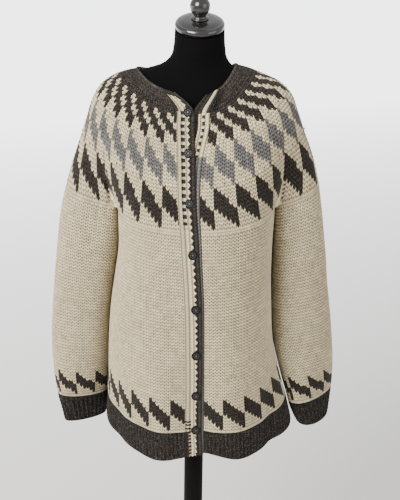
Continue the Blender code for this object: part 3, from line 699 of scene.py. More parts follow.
def wall(name, outer, inner, face_colour, shade, uv, closed=False):
    """A closed wall from an outer grid and the same grid moved in, with colours and painted shade."""
    rows, columns = outer.shape[:2]
    keep_rows, keep_columns = picked(rows, INNER_ROWS), picked(columns, INNER_COLUMNS)
    kept = np.ix_(keep_rows, keep_columns)
    inside = inner[kept]
    out = np.arange(rows * columns).reshape(rows, columns)
    into = rows * columns + np.arange(inside[..., 0].size).reshape(inside.shape[:2])
    if closed:
        out[:, -1] = out[:, 0]
        into[:, -1] = into[:, 0]
    parts = [around(out).reshape(-1, 4), around(into).reshape(-1, 4)[:, ::-1]]
    parts += rim(out[0], into[0], keep_columns)
    parts += rim(out[-1][::-1], into[-1][::-1], (columns - 1 - keep_columns)[::-1])
    if not closed:
        parts += rim(out[:, 0][::-1], into[:, 0][::-1], (rows - 1 - keep_rows)[::-1])
        parts += rim(out[:, -1], into[:, -1], keep_rows)
    points = np.concatenate([outer.reshape(-1, 3), inside.reshape(-1, 3)])
    first = parts[0][len(parts[0]) // 2]
    facing = np.cross(points[first[1]] - points[first[0]], points[first[3]] - points[first[0]])
    outwards = outer.reshape(-1, 3)[first[0]] - inner.reshape(-1, 3)[first[0]]
    order = [0, 1, 2, 3]
    if facing @ outwards < 0:
        parts = [faces[:, ::-1] for faces in parts]
        order = [3, 2, 1, 0]
    fine = face_colour.reshape(-1, 1, 3) * around(shade).reshape(-1, 4)[:, order][..., None]
    face_at = np.ix_(*[np.minimum(np.arange(count), count - 2) for count in (rows, columns)])
    at_points = face_colour[face_at] * INNER_PAINTED_SHADE
    vertex_colour = np.concatenate([at_points.reshape(-1, 3), at_points[kept].reshape(-1, 3)])
    rest = np.concatenate([faces.ravel() for faces in parts[1:]])
    colours = np.concatenate([fine.reshape(-1, 3), vertex_colour[rest]])
    all_uv = np.concatenate([uv.reshape(-1, 2), uv[kept].reshape(-1, 2)])
    corner_uv = all_uv[np.concatenate([faces.ravel() for faces in parts])]
    if closed:
        by_face = corner_uv[: 4 * len(parts[0])].reshape(-1, 4, 2)
        wrapped = by_face[..., 0].max(axis=1, keepdims=True) - by_face[..., 0] > uv[..., 0].max() / 2
        by_face[..., 0] += wrapped * uv[..., 0].max()
        corner_uv[: 4 * len(parts[0])] = by_face.reshape(-1, 2)
    return new_mesh(name, points, parts, colours, corner_uv, smooth=len(parts[0]))


# %% [markdown]
# ### Knitting a piece
#
# One function knits them all: it is told the surface, how many rows and stitches, the chart, and
# what moves the cloth in or out. The zigzag and the relief fade out at the first and last row, so
# that two pieces meet on a plain edge, as the edge stitches do. Then it prints the cut's size, which
# is the longest row by the longest column, measured along the cloth.

# %% Knitting a piece
# The painted shade on a piece's first and last row, where the stitches fade out
EDGE_PAINTED_SHADE = 0.42
FADE_ROWS = 0.75
STITCH_SPREAD = 0.09
# A cut is a hundredth larger than it measures, and its area stays inside its box
CUT_ALLOWANCE, MOST_OF_BOX = 1.01, 0.99


def knit(name, surface, anchors, b_range, rows, columns, chart, closed=False, lift=None, inside=None,
         shade=1.0, height=stitch_height, tone=painted_stitch_shade, zigzag=ZIGZAG):
    """A knitted wall: columns gives each point column's position, place in its stitch and repeat."""
    level = np.arange(rows * POINTS_DOWN + 1) / POINTS_DOWN
    position, across, repeat_part, stitch = columns(rows - level)
    position = np.broadcast_to(position, (len(level), position.shape[-1]))
    across = np.broadcast_to(across, position.shape)
    b_level = mix(b_range[0], b_range[1], level / rows)
    a = lay_out(surface, anchors(b_level), b_level, position)
    fade = ease(np.minimum(level, rows - level) / FADE_ROWS)[:, None]
    shifted = level[:, None] + zigzag * fade * (1 - 4 * np.abs(across))
    b = mix(b_range[0], b_range[1], shifted / rows)
    base = surface(a, b)
    middle = base.mean(axis=(0, 1)) if inside is None else inside(base)
    normals = outward_normals(base, middle)
    if lift is not None:
        base = base + normals * lift(base, b, a)[..., None]
    part = np.broadcast_to((level % 1)[:, None], across.shape)
    outer = base + normals * (fade * height(across, part))[..., None]
    row = np.floor(rows - level[:-1] - 1e-6)[:, None]
    face_part = np.broadcast_to(repeat_part, position.shape)[:-1, :-1]
    face_stitch = np.broadcast_to(stitch, position.shape)[:-1, :-1].astype(int)
    yarn = chart(face_part, row)
    spread = np.clip(chance.normal(0, 1, (rows + 1, face_stitch.max() + 2)), -2, 2)
    of_stitch = 1 + STITCH_SPREAD * spread[row.astype(int) % (rows + 1), face_stitch]
    colour = dyed(yarn, shade) * of_stitch[..., None]
    uv = np.stack([position, np.broadcast_to(level[:, None], position.shape)], axis=-1)
    # The stitches' painted shade and painted crest highlight, faded to a plain painted shade at the first
    # and last row
    painted_tones = mix(EDGE_PAINTED_SHADE, tone(across, part), fade)
    piece = wall(name, outer, base - normals * WALL, colour, painted_tones, uv, closed)
    level_rows = surface(a, np.broadcast_to(b_level[:, None], a.shape))
    steps_across = np.linalg.norm(np.diff(level_rows, axis=1), axis=2)
    steps_down = np.linalg.norm(np.diff(level_rows, axis=0), axis=2)
    wide, long = float(steps_across.sum(axis=1).max()), float(steps_down.sum(axis=0).max())
    size = wide * CUT_ALLOWANCE, long * CUT_ALLOWANCE
    area = float((steps_across[:-1] * steps_down[:, :-1]).sum())
    piece["flat"], piece["area"] = size, min(area, MOST_OF_BOX * size[0] * size[1])
    print(f"{name}: {position.shape[1]} x {len(level)} points, "
          f"{size[0]:.3f} x {size[1]:.3f} m, {area:.3f} m2")
    return piece


def plain_columns(stitches, offset=0.0, points=POINTS_ACROSS):
    """Columns for a constant stitch count: offset shifts the pattern's repeat, in stitches."""
    position = np.arange(round(stitches * points) + 1) / points
    across = (position % 1) - 0.5
    stitch = np.floor(position + 1e-9)
    repeat_part = ((stitch + offset) % REPEAT) / (REPEAT - 1)

    def columns(row):
        return position, across, repeat_part, stitch

    return columns


# %% [markdown]
# ## The body
#
# The two fronts and the back are stocking stitch, with one row of charcoal leaves above the hem.
# Bulky wool gives about 143 stitches round the body and 64 rows down it.

# %% Fronts and back
BODY_ROWS = 64
FRONT_RIGHT, BACK, FRONT_LEFT = 35, 72, 36
BORDER_OFFSET = 1.0
YOKE_DEPTH = 0.26
# Half a seam, as a part of a quarter of the body's ring
QUARTER_RING = 0.26
GAP = SEAM / 2 / QUARTER_RING
KNIT_SPAN = (0.0005, 0.9993)


def round_middle(points):
    """For each point, one on the garment's middle line and well below it."""
    middle = points.copy()
    middle[..., :2] = 0.0
    middle[..., 2] -= YOKE_DEPTH
    return middle


def lift_on_body(points, down, place):
    """The lift beside the bands, for the body, which begins where the yoke's depth ends."""
    return edge_lift(points, down + 1)


def lift_on_yoke(points, down, place):
    """The lift beside the bands, for the yoke."""
    return edge_lift(points, down)


def right_front(stitches):
    """Anchors of the right front: from its edge beside the band to the side."""
    return lambda b: [(0, at_x(body, band_edges(b + 1)[1], b)), (stitches, 1 - GAP)]


def left_front(stitches):
    """Anchors of the left front: from the side to its edge beside the band."""
    return lambda b: [(0, -1 + GAP), (stitches, at_x(body, band_edges(b + 1)[0], b))]


def whole_back(stitches):
    """Anchors of the back: from side to side, with half the stitches on each side of its middle."""
    return lambda b: [(0, 1 + GAP), (stitches / 2, 2.0), (stitches, 3 - GAP)]


wrapped_body = all_round(body)
front_right = knit(
    "knit_front_right", body, right_front(FRONT_RIGHT), KNIT_SPAN, BODY_ROWS,
    plain_columns(FRONT_RIGHT, BORDER_OFFSET), hem_chart, lift=lift_on_body, inside=round_middle,
)
front_left = knit(
    "knit_front_left", body, left_front(FRONT_LEFT), KNIT_SPAN, BODY_ROWS,
    plain_columns(FRONT_LEFT, BORDER_OFFSET + FRONT_RIGHT + BACK - 2), hem_chart, lift=lift_on_body,
    inside=round_middle,
)
back = knit(
    "knit_back", wrapped_body, whole_back(BACK), KNIT_SPAN, BODY_ROWS,
    plain_columns(BACK, BORDER_OFFSET + FRONT_RIGHT), hem_chart, inside=round_middle,
)

# %% [markdown]
# ## The sleeves
#
# Each sleeve is a tube of 46 stitches. The count starts at the outside of the arm, so the place
# where the pattern doesn't come out even is under the arm, as a knitter would have it. Empty arms
# wrinkle in soft folds that wind round them, and each fold is one row of a table.

# %% Sleeves
SLEEVE_STITCHES = 46
SLEEVE_ROWS = 66
FOLD_RUN, FOLD_FADE_IN, FOLD_FADE_OUT = 0.20, 0.12, 0.08
# Place round the arm above and below, width round it, height, and middle of its run down the arm
FOLDS_LEFT = table(
    "above below width high run",
    (0.30, 0.62, 0.055, 0.0034, 0.30),
    (0.22, 0.52, 0.050, 0.0030, 0.55),
    (0.30, 0.60, 0.060, 0.0032, 0.78),
    (0.10, 0.16, 0.050, 0.0030, 0.45),
)
FOLDS_RIGHT = table(
    "above below width high run",
    (0.26, 0.30, 0.040, 0.0034, 0.66),
    (0.36, 0.56, 0.055, 0.0030, 0.32),
    (0.46, 0.52, 0.060, 0.0024, 0.80),
    (0.60, 0.80, 0.060, 0.0032, 0.50),
)


def sleeve_lift(side):
    """Soft folds that wind down the arm: each is a bell across, and a bell along its own run."""
    folds = FOLDS_RIGHT if side > 0 else FOLDS_LEFT

    def lift(points, down, place):
        height = np.zeros(place.shape)
        place = place % 1 if side > 0 else (-place) % 1
        for above, below, width, high, run in zip(*folds.values()):
            across = (place - mix(above, below, down)) / width
            height += high * np.exp(-(across**2) - ((down - run) / FOLD_RUN) ** 2)
        return height * ease(down / FOLD_FADE_IN) * ease((1 - down) / FOLD_FADE_OUT)

    return lift


def tube_middle(points):
    """For each point of a tube, the middle of its ring."""
    return np.broadcast_to(points.mean(axis=1, keepdims=True), points.shape)


def sleeve_run(side):
    """The sleeve's surface with its places counted to the right, as seen from outside."""
    surface, turn = sleeve(side), 1 if side > 0 else -1
    return lambda part, down: surface(turn * part, down)


def round_tube(stitches):
    """Anchors of a tube: all its stitches once round, evenly on its two halves."""
    return lambda b: [(0, 0.0), (stitches / 2, 0.5), (stitches, 1.0)]


def sleeve_piece(name, side, offset):
    """A tube of stitches, from under the arm and back."""
    return knit(
        name, sleeve_run(side), round_tube(SLEEVE_STITCHES), KNIT_SPAN, SLEEVE_ROWS,
        plain_columns(SLEEVE_STITCHES, offset), cuff_chart, closed=True, inside=tube_middle,
        lift=sleeve_lift(side),
    )


sleeve_left = sleeve_piece("knit_sleeve_left", -1, 4)
sleeve_right = sleeve_piece("knit_sleeve_right", 1, 5)

# %% [markdown]
# ## The yoke
#
# The yoke is knitted round from the body and sleeves up to the neck, and it narrows by decreases: a
# repeat of the pattern is six stitches wide at the bottom, then five, and four at the neck. The mesh
# has the same number of columns all the way up, and they are shared out anew where the count changes.

# %% Yoke
YOKE_STITCHES = 164
YOKE_OFFSET = 2.5
REPEAT_POINTS = REPEAT * POINTS_ACROSS
NECKBAND_PART = 0.19
NECK_GAP = 0.0006
# The parts of the stitches, from the right band, at the right arm, the back's middle and the left arm
YOKE_SHARES = (0.262, 0.5, 0.738)


def yoke_columns(row):
    """Column positions on each mesh row, in stitches of the lowest row, with fewer, wider ones above.

    A repeat always has the same points. Where it has fewer stitches, each stitch takes more of them.
    """
    k = np.arange(YOKE_STITCHES * POINTS_ACROSS + 1) + round(YOKE_OFFSET * POINTS_ACROSS)
    repeat, rest = k // REPEAT_POINTS, k % REPEAT_POINTS
    lines = []
    for at in row:
        stitches = [count for start, count in DECREASES if at >= start - 1e-6][-1]
        steps = np.arange(POINTS_ACROSS * stitches + 1)
        marks = np.round(steps * REPEAT_POINTS / (POINTS_ACROSS * stitches))
        part = np.interp(rest, marks, steps / (POINTS_ACROSS * stitches))
        local = part * stitches
        stitch = np.floor(local + 1e-6)
        lines.append((
            (repeat + part) * REPEAT - YOKE_OFFSET, (local + 1e-6) % 1 - 0.5,
            stitch / (stitches - 1), repeat * REPEAT + stitch,
        ))
    return [np.stack(column) for column in zip(*lines)]


def yoke_anchors(b):
    """The yoke goes from the right front's edge round the back to the left front's edge."""
    left, right = band_edges(b)
    right_arm, middle, left_arm = (YOKE_STITCHES * share for share in YOKE_SHARES)
    return [
        (0, at_x(yoke, right, b)), (right_arm, 1.0), (middle, 2.0), (left_arm, 3.0),
        (YOKE_STITCHES, 4 + at_x(yoke, left, b)),
    ]


wrapped_yoke = all_round(yoke)
yoke_piece = knit(
    "knit_yoke", wrapped_yoke, yoke_anchors, (NECKBAND_PART + NECK_GAP, 0.9994), YOKE_ROWS, yoke_columns,
    yoke_chart, lift=lift_on_yoke, inside=round_middle,
)

# %% [markdown]
# ## Neckband
#
# The neckband goes on from the yoke in charcoal alone. Its top edge is a finished edge that stands
# up in a thin roll and catches the light, and that light is painted in: its top rows are coloured
# paler, a painted highlight.

# %% Neckband
NECK_STITCHES = 120
NECK_ROWS = 6
ROLL_HIGH, ROLL_AT, ROLL_WIDTH = 0.0022, 0.012, 0.011
# The roll's top rows get a painted highlight, a paler colour where it catches the light
ROLL_PAINTED_HIGHLIGHT, NECK_SHADE = 1.9, 0.95
NECK_RELIEF = 0.5


def all_charcoal(across, row):
    """A chart of one yarn."""
    return np.full(np.broadcast(across, row).shape, CHARCOAL)


def neck_lift(points, down, place):
    """The front edges' lift, and a roll that stands up along the neck: a bell curve down the cloth."""
    return edge_lift(points, down) + ROLL_HIGH * np.exp(-(((down - ROLL_AT) / ROLL_WIDTH) ** 2))


def neck_anchors(b):
    """The yoke's anchors, for the neckband's own stitch count."""
    return [(stitch * NECK_STITCHES / YOKE_STITCHES, place) for stitch, place in yoke_anchors(b)]


neckband = knit(
    "knit_neckband", wrapped_yoke, neck_anchors, (0.0, NECKBAND_PART - 2 * NECK_GAP), NECK_ROWS,
    plain_columns(NECK_STITCHES), all_charcoal, lift=neck_lift, inside=round_middle,
    height=lambda across, down: NECK_RELIEF * stitch_height(across, down),
    shade=np.where(np.arange(NECK_ROWS * POINTS_DOWN) < 2, ROLL_PAINTED_HIGHLIGHT, NECK_SHADE)[:, None],
)

# %% [markdown]
# ## Ribs
#
# A rib alternates a knit stitch, which stands up, with a purl stitch, which sinks in. So the rib is
# a row of ridges, about 8 mm apart at the hem and 10 to 12 mm at the cuffs, and each ridge still
# shows the V of its knit stitches.

# %% The rib's shape
RIB_POINTS = 6
RIB_RAISE, RIB_GROOVE, RIB_SINK = 0.0024, 0.0005, 0.0006
RIB_ZIGZAG = 0.22
RIB_SHADE = 0.38


def rib_height(across, down):
    """A ridge whose height is the cosine of the place across it, with a shallow groove on top."""
    ridge = np.clip(np.cos(2 * math.pi * across), 0, 1) ** 0.8
    groove = np.clip(1 - np.abs(across) / 0.12, 0, 1)
    bump = 1 - 0.25 * np.abs(2 * down - 1) ** 3
    return RIB_RAISE * ridge * bump - RIB_GROOVE * groove - RIB_SINK


def painted_rib_shade(across, down):
    """Painted shade on a rib: full on its ridge, darker in its purl valley and where its rows meet."""
    ridge = np.clip(np.cos(2 * math.pi * across) * 0.5 + 0.5, 0, 1)
    return (0.42 + 0.58 * ridge) * (1 - 0.12 * np.abs(2 * down - 1) ** 3)


def rib(name, surface, anchors, b_range, rows, ribs, shade=RIB_SHADE, **settings):
    """A ribbed wall, knitted like the others with its own profile."""
    return knit(
        name, surface, anchors, b_range, rows, plain_columns(ribs, points=RIB_POINTS), all_charcoal,
        height=rib_height, tone=painted_rib_shade, zigzag=RIB_ZIGZAG, shade=shade, **settings,
    )


# %% Hem and cuffs
HEM_ROWS, CUFF_ROWS = 9, 8
HEM_RIBS, CUFF_RIBS = 34, 26
CUFF_SHADE = 0.22
RIB_SPAN = (1.004, 2.0)
hem_front_right = rib(
    "rib_hem_front_right", body, right_front(HEM_RIBS), RIB_SPAN, HEM_ROWS, HEM_RIBS,
    lift=lift_on_body, inside=round_middle,
)
hem_front_left = rib(
    "rib_hem_front_left", body, left_front(HEM_RIBS), RIB_SPAN, HEM_ROWS, HEM_RIBS,
    lift=lift_on_body, inside=round_middle,
)
hem_back = rib(
    "rib_hem_back", wrapped_body, whole_back(2 * HEM_RIBS), RIB_SPAN, HEM_ROWS, 2 * HEM_RIBS,
    inside=round_middle,
)


def cuff_piece(name, side):
    """A short ribbed tube below the sleeve."""
    return rib(
        name, sleeve_run(side), round_tube(CUFF_RIBS), RIB_SPAN, CUFF_ROWS, CUFF_RIBS,
        closed=True, inside=tube_middle, shade=CUFF_SHADE,
    )


cuff_left = cuff_piece("rib_cuff_left", -1)
cuff_right = cuff_piece("rib_cuff_right", 1)

# %% [markdown]
# ## Crocheted bands
#
# Both front edges are finished in crochet: a cream chain along the knitting, a row of cream
# stitches whose tips run into the dark edge like a saw, and a charcoal edge. The band with the
# buttonholes lies on top. Crochet could be one long yarn wound in loops, but from a step away it is
# four beaded cords side by side, and a strip with that relief shows them with far fewer faces. A
# face's colour comes from its place across and along the band.

# %% Bands
BAND_STITCH = 0.0062
TOOTH = 0.0122
BAND_POINTS = 30
RUN_STEP = 0.0013
UPPER_BAND_OUT, LOWER_BAND_OUT = 0.0026, -0.0019
OVERLAP = 0.06
CORDS, CORD_HIGH, CORD_LEAN = 4.0, 0.0026, 0.8
BAND_SINK, BAND_RAISE, BAND_EDGE = 0.0006, 0.0004, 0.09
# Painted shade on the band: how light it is in its holes, the painted highlight on its beads, and painted
# shade beside the knitting
BAND_HOLE_PAINTED_SHADE, BAND_BEAD_PAINTED_HIGHLIGHT, BESIDE_KNIT_PAINTED_SHADE = 0.06, 0.74, 0.70
STRIPE = 0.0075


def band_run(column, steps=3001):
    """Distance along the band's middle at each place down it."""
    down = np.linspace(0, 3, steps)
    points = front(read(BANDS, column, down), down)
    run = np.concatenate([[0.0], np.cumsum(np.linalg.norm(np.diff(points, axis=0), axis=1))])
    return down, run


def chain_height(across, along):
    """Crochet: four cords of loops side by side, each loop a rounded bead, leaning one way."""
    strand = np.abs(np.sin(math.pi * across * CORDS)) ** 0.6
    bead = np.abs(np.sin(math.pi * along)) ** 0.45
    return CORD_HIGH * strand * (0.2 + 0.8 * bead)


def band(name, column, out, dark_edge, stripes, overlap=0.0):
    """A strip of the front's surface, moved out: across runs from -0.5 on the left to 0.5.

    overlap is the part of its width by which the strip laps over the front at its left.
    """
    down_at, run_at = band_run(column)
    count = round(run_at[-1] / RUN_STEP)
    run = np.linspace(0, run_at[-1], count)
    down = np.interp(run, run_at, down_at)
    across = np.linspace(-0.5 - overlap, 0.5, BAND_POINTS + 1)
    x = read(BANDS, column, down)[:, None] + across[None, :] * BAND_WIDTH
    base = front(x, np.broadcast_to(down[:, None], x.shape))
    normals = outward_normals(base, round_middle(base))
    along = (run / BAND_STITCH)[:, None]
    lean = along - CORD_LEAN * np.abs(np.sin(math.pi * across * CORDS))[None, :]
    height = chain_height(np.broadcast_to(across, x.shape), lean)
    edge = ease((0.5 - np.abs(across)) / BAND_EDGE)[None, :]
    outer = base + normals * (out - BAND_SINK + height * edge + BAND_RAISE * edge)[..., None]
    inner = base + normals * (out - WALL)
    saw = (run / TOOTH)[:-1, None] % 1
    yarn = dark_edge(across[:-1][None, :] + 0.5 / BAND_POINTS, saw, down[:-1, None])
    yarn = stripes(yarn, across[:-1][None, :], run[:-1, None], down[:-1, None])
    yarn = np.broadcast_to(yarn, (count - 1, BAND_POINTS))
    # Painted shade and highlight: darker beside the knitting and in the low parts, lighter on the beads
    painted_shade_by_knit = mix(BESIDE_KNIT_PAINTED_SHADE, 1.0, ease((across + 0.30) / 0.25))[None, :]
    tone = (BAND_HOLE_PAINTED_SHADE + BAND_BEAD_PAINTED_HIGHLIGHT * (height / height.max()) ** 1.1) * painted_shade_by_knit
    uv = np.stack(np.broadcast_arrays(across[None, :] * 5, along), axis=-1)
    piece = wall(name, outer, inner, dyed(yarn), tone, uv)
    long = float(run[-1])
    piece["flat"], piece["area"] = (BAND_WIDTH * 1.02, long * 1.02), long * BAND_WIDTH
    print(f"{name}: {x.shape[1]} x {x.shape[0]} points, {long:.3f} m long")
    return piece


def upper_edge(across, saw, down):
    """Charcoal to the right of a saw-toothed line, and in open loops left of it on the yoke."""
    low = ease((down - 1.7) / 0.3)
    tip = mix(0.05 + 0.16 * np.abs(1 - 2 * saw) ** 1.2, 0.04 + 0.12 * saw, low)
    open_loop = (across < -0.08) & (across > -0.30) & (np.abs(saw - 0.5) < 0.30)
    open_loop = open_loop & (down > 0.14) & (down < 0.97)
    end = (down < 0.035) | ((down < 0.16) & (across < -0.40))
    return np.where((across > tip) | open_loop | end, CHARCOAL, CREAM)


def lower_edge(across, saw, down):
    """Charcoal at the left, under the other band, and at the neck: else cream, and grey lower down."""
    beside = np.where(down < 0.5, CREAM, GREY)
    at_neck = (down < 0.17) & ((across < 0.0) | (across > 0.28))
    open_loop = (across > 0.08) & (across < 0.24) & (np.abs(saw - 0.5) < 0.28) & (down < 0.5)
    dark = (across < -0.12 + 0.3 * (down > 0.5)) | at_neck | (open_loop & (down > 0.17))
    return np.where(dark, CHARCOAL, beside)


def low_stripes(yarn, across, run, down):
    """Beside the hem the cream chain narrows, and short dark stripes show at its left."""
    striped = (down > 1.93) & (across < -0.18) & ((run / STRIPE) % 1 < 0.5)
    under_hem = (down > 2.0) & (across < -0.36)
    return np.where(striped | under_hem, CHARCOAL, yarn)


def no_stripes(yarn, across, run, down):
    """The band beneath has none."""
    return yarn


buttonhole_band = band(
    "crochet_buttonhole_band", "upper", UPPER_BAND_OUT, upper_edge, low_stripes, OVERLAP,
)
button_band = band("crochet_button_band", "lower", LOWER_BAND_OUT, lower_edge, no_stripes)

# %% [markdown]
# ## Buttons
#
# Eight round pewter buttons with a rope rim and a ring of small petals round a boss. A button is a
# height over a disc: a function of the distance from its middle and of the angle.

# %% Buttons
BUTTON_HEIGHTS = (1.3090, 1.2425, 1.1580, 1.0665, 0.9630, 0.8710, 0.7880, 0.7160)
BUTTON_RADIUS = 0.009
BUTTON_THICK = 0.0045
BUTTON_ASIDE = 0.004
BUTTON_SIDES, FACE_RINGS = 72, 21
# Beyond the face: each ring's part of the radius, and its height over the back
EDGE_RINGS = np.array([(1.02, 0.0016), (1.0, 0.0006), (0.9, 0.0), (0.6, 0.0)])


def button_face(radius, angle):
    """Height over the disc, for radius 0 to 1: a raised rope rim, petals inside it, and a boss."""
    rope = np.exp(-(((radius - 0.90) / 0.075) ** 2)) * (1 + 0.22 * np.sin(36 * angle + 9 * radius))
    petals = np.exp(-(((radius - 0.56) / 0.17) ** 2)) * np.abs(np.cos(4 * angle)) ** 0.6
    beads = np.exp(-(((radius - 0.73) / 0.05) ** 2)) * (0.5 + 0.5 * np.cos(24 * angle))
    boss = np.exp(-((radius / 0.20) ** 2))
    dome = 0.45 * (1 - radius**2)
    return dome + 0.42 * rope + 0.34 * petals + 0.2 * beads + 0.42 * boss


def button_mesh(name, centre, normal):
    """A disc of rings with that face, rounded over its edge to a flat back."""
    radius = np.concatenate([np.linspace(0, 1, FACE_RINGS + 1)[1:], EDGE_RINGS[:, 0]])
    angle = np.arange(BUTTON_SIDES) * 2 * math.pi / BUTTON_SIDES
    r, t = np.meshgrid(radius, angle, indexing="ij")
    face = button_face(np.minimum(r, 1), t)
    high = BUTTON_THICK * (0.42 + 0.42 * face / 1.3)
    high[FACE_RINGS:] = EDGE_RINGS[:, 1:]
    side = Vector(normal).to_track_quat("Z", "Y").to_matrix()
    local = np.stack([r * BUTTON_RADIUS * np.cos(t), r * BUTTON_RADIUS * np.sin(t), high], axis=-1)
    local = np.minimum(local, [1, 1, BUTTON_THICK])
    ends = np.array([[0, 0, BUTTON_THICK * 0.95], [0, 0, 0.0]])
    points = np.concatenate([local.reshape(-1, 3), ends]) @ np.array(side).T + centre
    grid = np.arange(r.size).reshape(r.shape)
    grid = np.concatenate([grid, grid[:, :1]], axis=1)
    quads = np.stack([grid[:-1, :-1], grid[1:, :-1], grid[1:, 1:], grid[:-1, 1:]], axis=-1).reshape(-1, 4)
    top = np.stack([np.full(BUTTON_SIDES, r.size), grid[0, :-1], grid[0, 1:]], axis=-1)
    under = np.stack([np.full(BUTTON_SIDES, r.size + 1), grid[-1, 1:], grid[-1, :-1]], axis=-1)
    rubbed = np.concatenate([np.clip((face - 0.25) / 0.75, 0, 1).ravel() ** 2, [1.0, 0.0]])
    parts = [quads, top, under]
    corner = np.concatenate([faces.ravel() for faces in parts])
    return new_mesh(name, points, parts, colours=np.repeat(rubbed[corner][:, None], 3, axis=1))


down_fine = np.linspace(0, 3, 601)
band_z = front(read(BANDS, "upper", down_fine), down_fine)[:, 2]
buttons = []
for number, high in enumerate(BUTTON_HEIGHTS, start=1):
    place = float(np.interp(-high, -band_z, down_fine))
    x = float(read(BANDS, "upper", place)) + BUTTON_ASIDE
    near = front(x + np.array([[-1e-3, 0, 1e-3]] * 3), place + np.array([[-1e-3], [0], [1e-3]]))
    normal = outward_normals(near, round_middle(near))[1, 1]
    box = np.array(corners(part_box(f"button_{number}")))
    centre = box.mean(axis=0) - normal * BUTTON_THICK / 2
    buttons.append(button_mesh(f"pewter_button_{number}", centre, normal))
print("buttons:", len(buttons), " first at", [round(float(v), 3) for v in centre])

# %% [markdown]
# ## The dress form and its stand
#
# The form is foam under tight black jersey, with a neck that is cut at a slant and closed by a
# turned cap. It is the same set of rings as in the solid model, with many more of them.

# %% The form
FORM_BOTTOM_Z = 0.730
SHOULDER_Z = 1.300
SHOULDER_LEAN = 0.055
NECK_Z = 1.390
NECK_TOP_Z = 1.448
NECK_SLANT = math.radians(22)
FORM_SIDES = 128
FORM = table(
    "at half front back square",
    (0.730, 0.150, 0.104, 0.106, 2.3),
    (0.800, 0.153, 0.106, 0.110, 2.3),
    (0.900, 0.138, 0.098, 0.100, 2.2),
    (0.990, 0.118, 0.086, 0.084, 2.2),
    (1.080, 0.130, 0.108, 0.090, 2.2),
    (1.160, 0.142, 0.122, 0.096, 2.3),
    (1.240, 0.150, 0.100, 0.094, 2.4),
    (1.300, 0.158, 0.072, 0.078, 2.3),
    (1.336, 0.156, 0.062, 0.066, 2.2),
    (1.350, 0.146, 0.050, 0.054, 2.0),
    (1.361, 0.127, 0.044, 0.050, 2.0),
    (1.372, 0.098, 0.041, 0.047, 2.0),
    (1.382, 0.070, 0.040, 0.046, 2.0),
    (1.390, 0.059, 0.040, 0.045, 2.0),
    (1.399, 0.052, 0.041, 0.045, 2.0),
    (1.418, 0.0475, 0.042, 0.044, 2.0),
    (1.448, 0.0455, 0.042, 0.042, 2.0),
)


def closed_grid(points, low_end, high_end):
    """Faces of a grid that closes round, with a fan at each end."""
    rows, columns = points.shape[:2]
    grid = np.arange(rows * columns).reshape(rows, columns)
    grid = np.concatenate([grid, grid[:, :1]], axis=1)
    quads = around(grid).reshape(-1, 4)
    count = rows * columns
    low = np.stack([np.full(columns, count), grid[0, 1:], grid[0, :-1]], axis=-1)
    high = np.stack([np.full(columns, count + 1), grid[-1, :-1], grid[-1, 1:]], axis=-1)
    return np.concatenate([points.reshape(-1, 3), [low_end, high_end]]), [quads, low, high]


def form_points():
    """Rings of the form: level below, tipped at the shoulders and slanted at the neck."""
    below, above = np.linspace(FORM_BOTTOM_Z, SHOULDER_Z, 70), np.linspace(SHOULDER_Z, NECK_TOP_Z, 60)
    z = np.concatenate([below, above[1:]])
    places = np.linspace(-2, 2, FORM_SIDES + 1)[:-1]
    a, z = np.meshgrid(places, z)
    x, y = ring(0.0, *[read(FORM, name, z) for name in ("half", "half", "front", "back", "square")], a)
    neck = ease((z - NECK_Z) / (NECK_TOP_Z - NECK_Z))
    lean = ease((z - SHOULDER_Z) / (NECK_Z - SHOULDER_Z)) * (1 - neck)
    z = z - x * SHOULDER_LEAN * lean + y * math.tan(NECK_SLANT) * neck
    return np.stack([x, y, z], axis=-1)


points, parts = closed_grid(form_points(), [0, 0, FORM_BOTTOM_Z], [0, 0, NECK_TOP_Z])
form = new_mesh("jersey_form", points, parts)
print("form's faces:", sum(len(part) for part in parts))

# %% [markdown]
# The cap, the ball on it, the pole, its collar and the base are turned on a lathe, so each is a
# profile carried round an axis. The cap and the ball lean forward with the slanted neck.

# %% Turned pieces
def smooth_profile(marks, steps=10):
    """Points along a rounded line through a few marks of radius and height."""
    marks = np.array(marks, float)
    corner = marks[1:-1]
    before, after = mix(marks[:-2], corner, 0.5), mix(corner, marks[2:], 0.5)
    before[0], after[-1] = marks[0], marks[-1]
    t = np.linspace(0, 1, steps)[None, :, None]
    curve = before[:, None] * (1 - t) ** 2 + 2 * corner[:, None] * t * (1 - t) + after[:, None] * t**2
    flat = curve.reshape(-1, 2)
    keep = np.append(True, np.linalg.norm(np.diff(flat, axis=0), axis=1) > 1e-6)
    return [tuple(point) for point in flat[keep]]


def turned(name, profile, tilt=0.0, foot=(0.0, 0.0, 0.0), segments=96):
    """A profile carried round its axis, which leans forward by tilt and stands at foot."""
    profile = np.asarray(profile, float)
    ends = np.array([[0, 0, profile[0, 1]], [0, 0, profile[-1, 1]]])
    profile = profile[profile[:, 0] > 1e-6]
    angle = np.arange(segments) * 2 * math.pi / segments
    radius, z = profile[:, :1], profile[:, 1:]
    grid = np.stack([radius * np.cos(angle), radius * np.sin(angle), z + 0 * angle], axis=-1)
    points, parts = closed_grid(grid, *ends)
    sine, cosine = math.sin(tilt), math.cos(tilt)
    lean = np.array([[1, 0, 0], [0, cosine, -sine], [0, sine, cosine]])
    return new_mesh(name, points @ lean.T + np.array(foot), parts)


def arc(radius, z, turn, start, end, steps):
    """Profile points on a circle's arc: radius and z of its centre, its own radius, its angles."""
    angles = np.radians(np.linspace(start, end, steps + 1))
    return [(radius + turn * math.cos(t), z + turn * math.sin(t)) for t in angles]


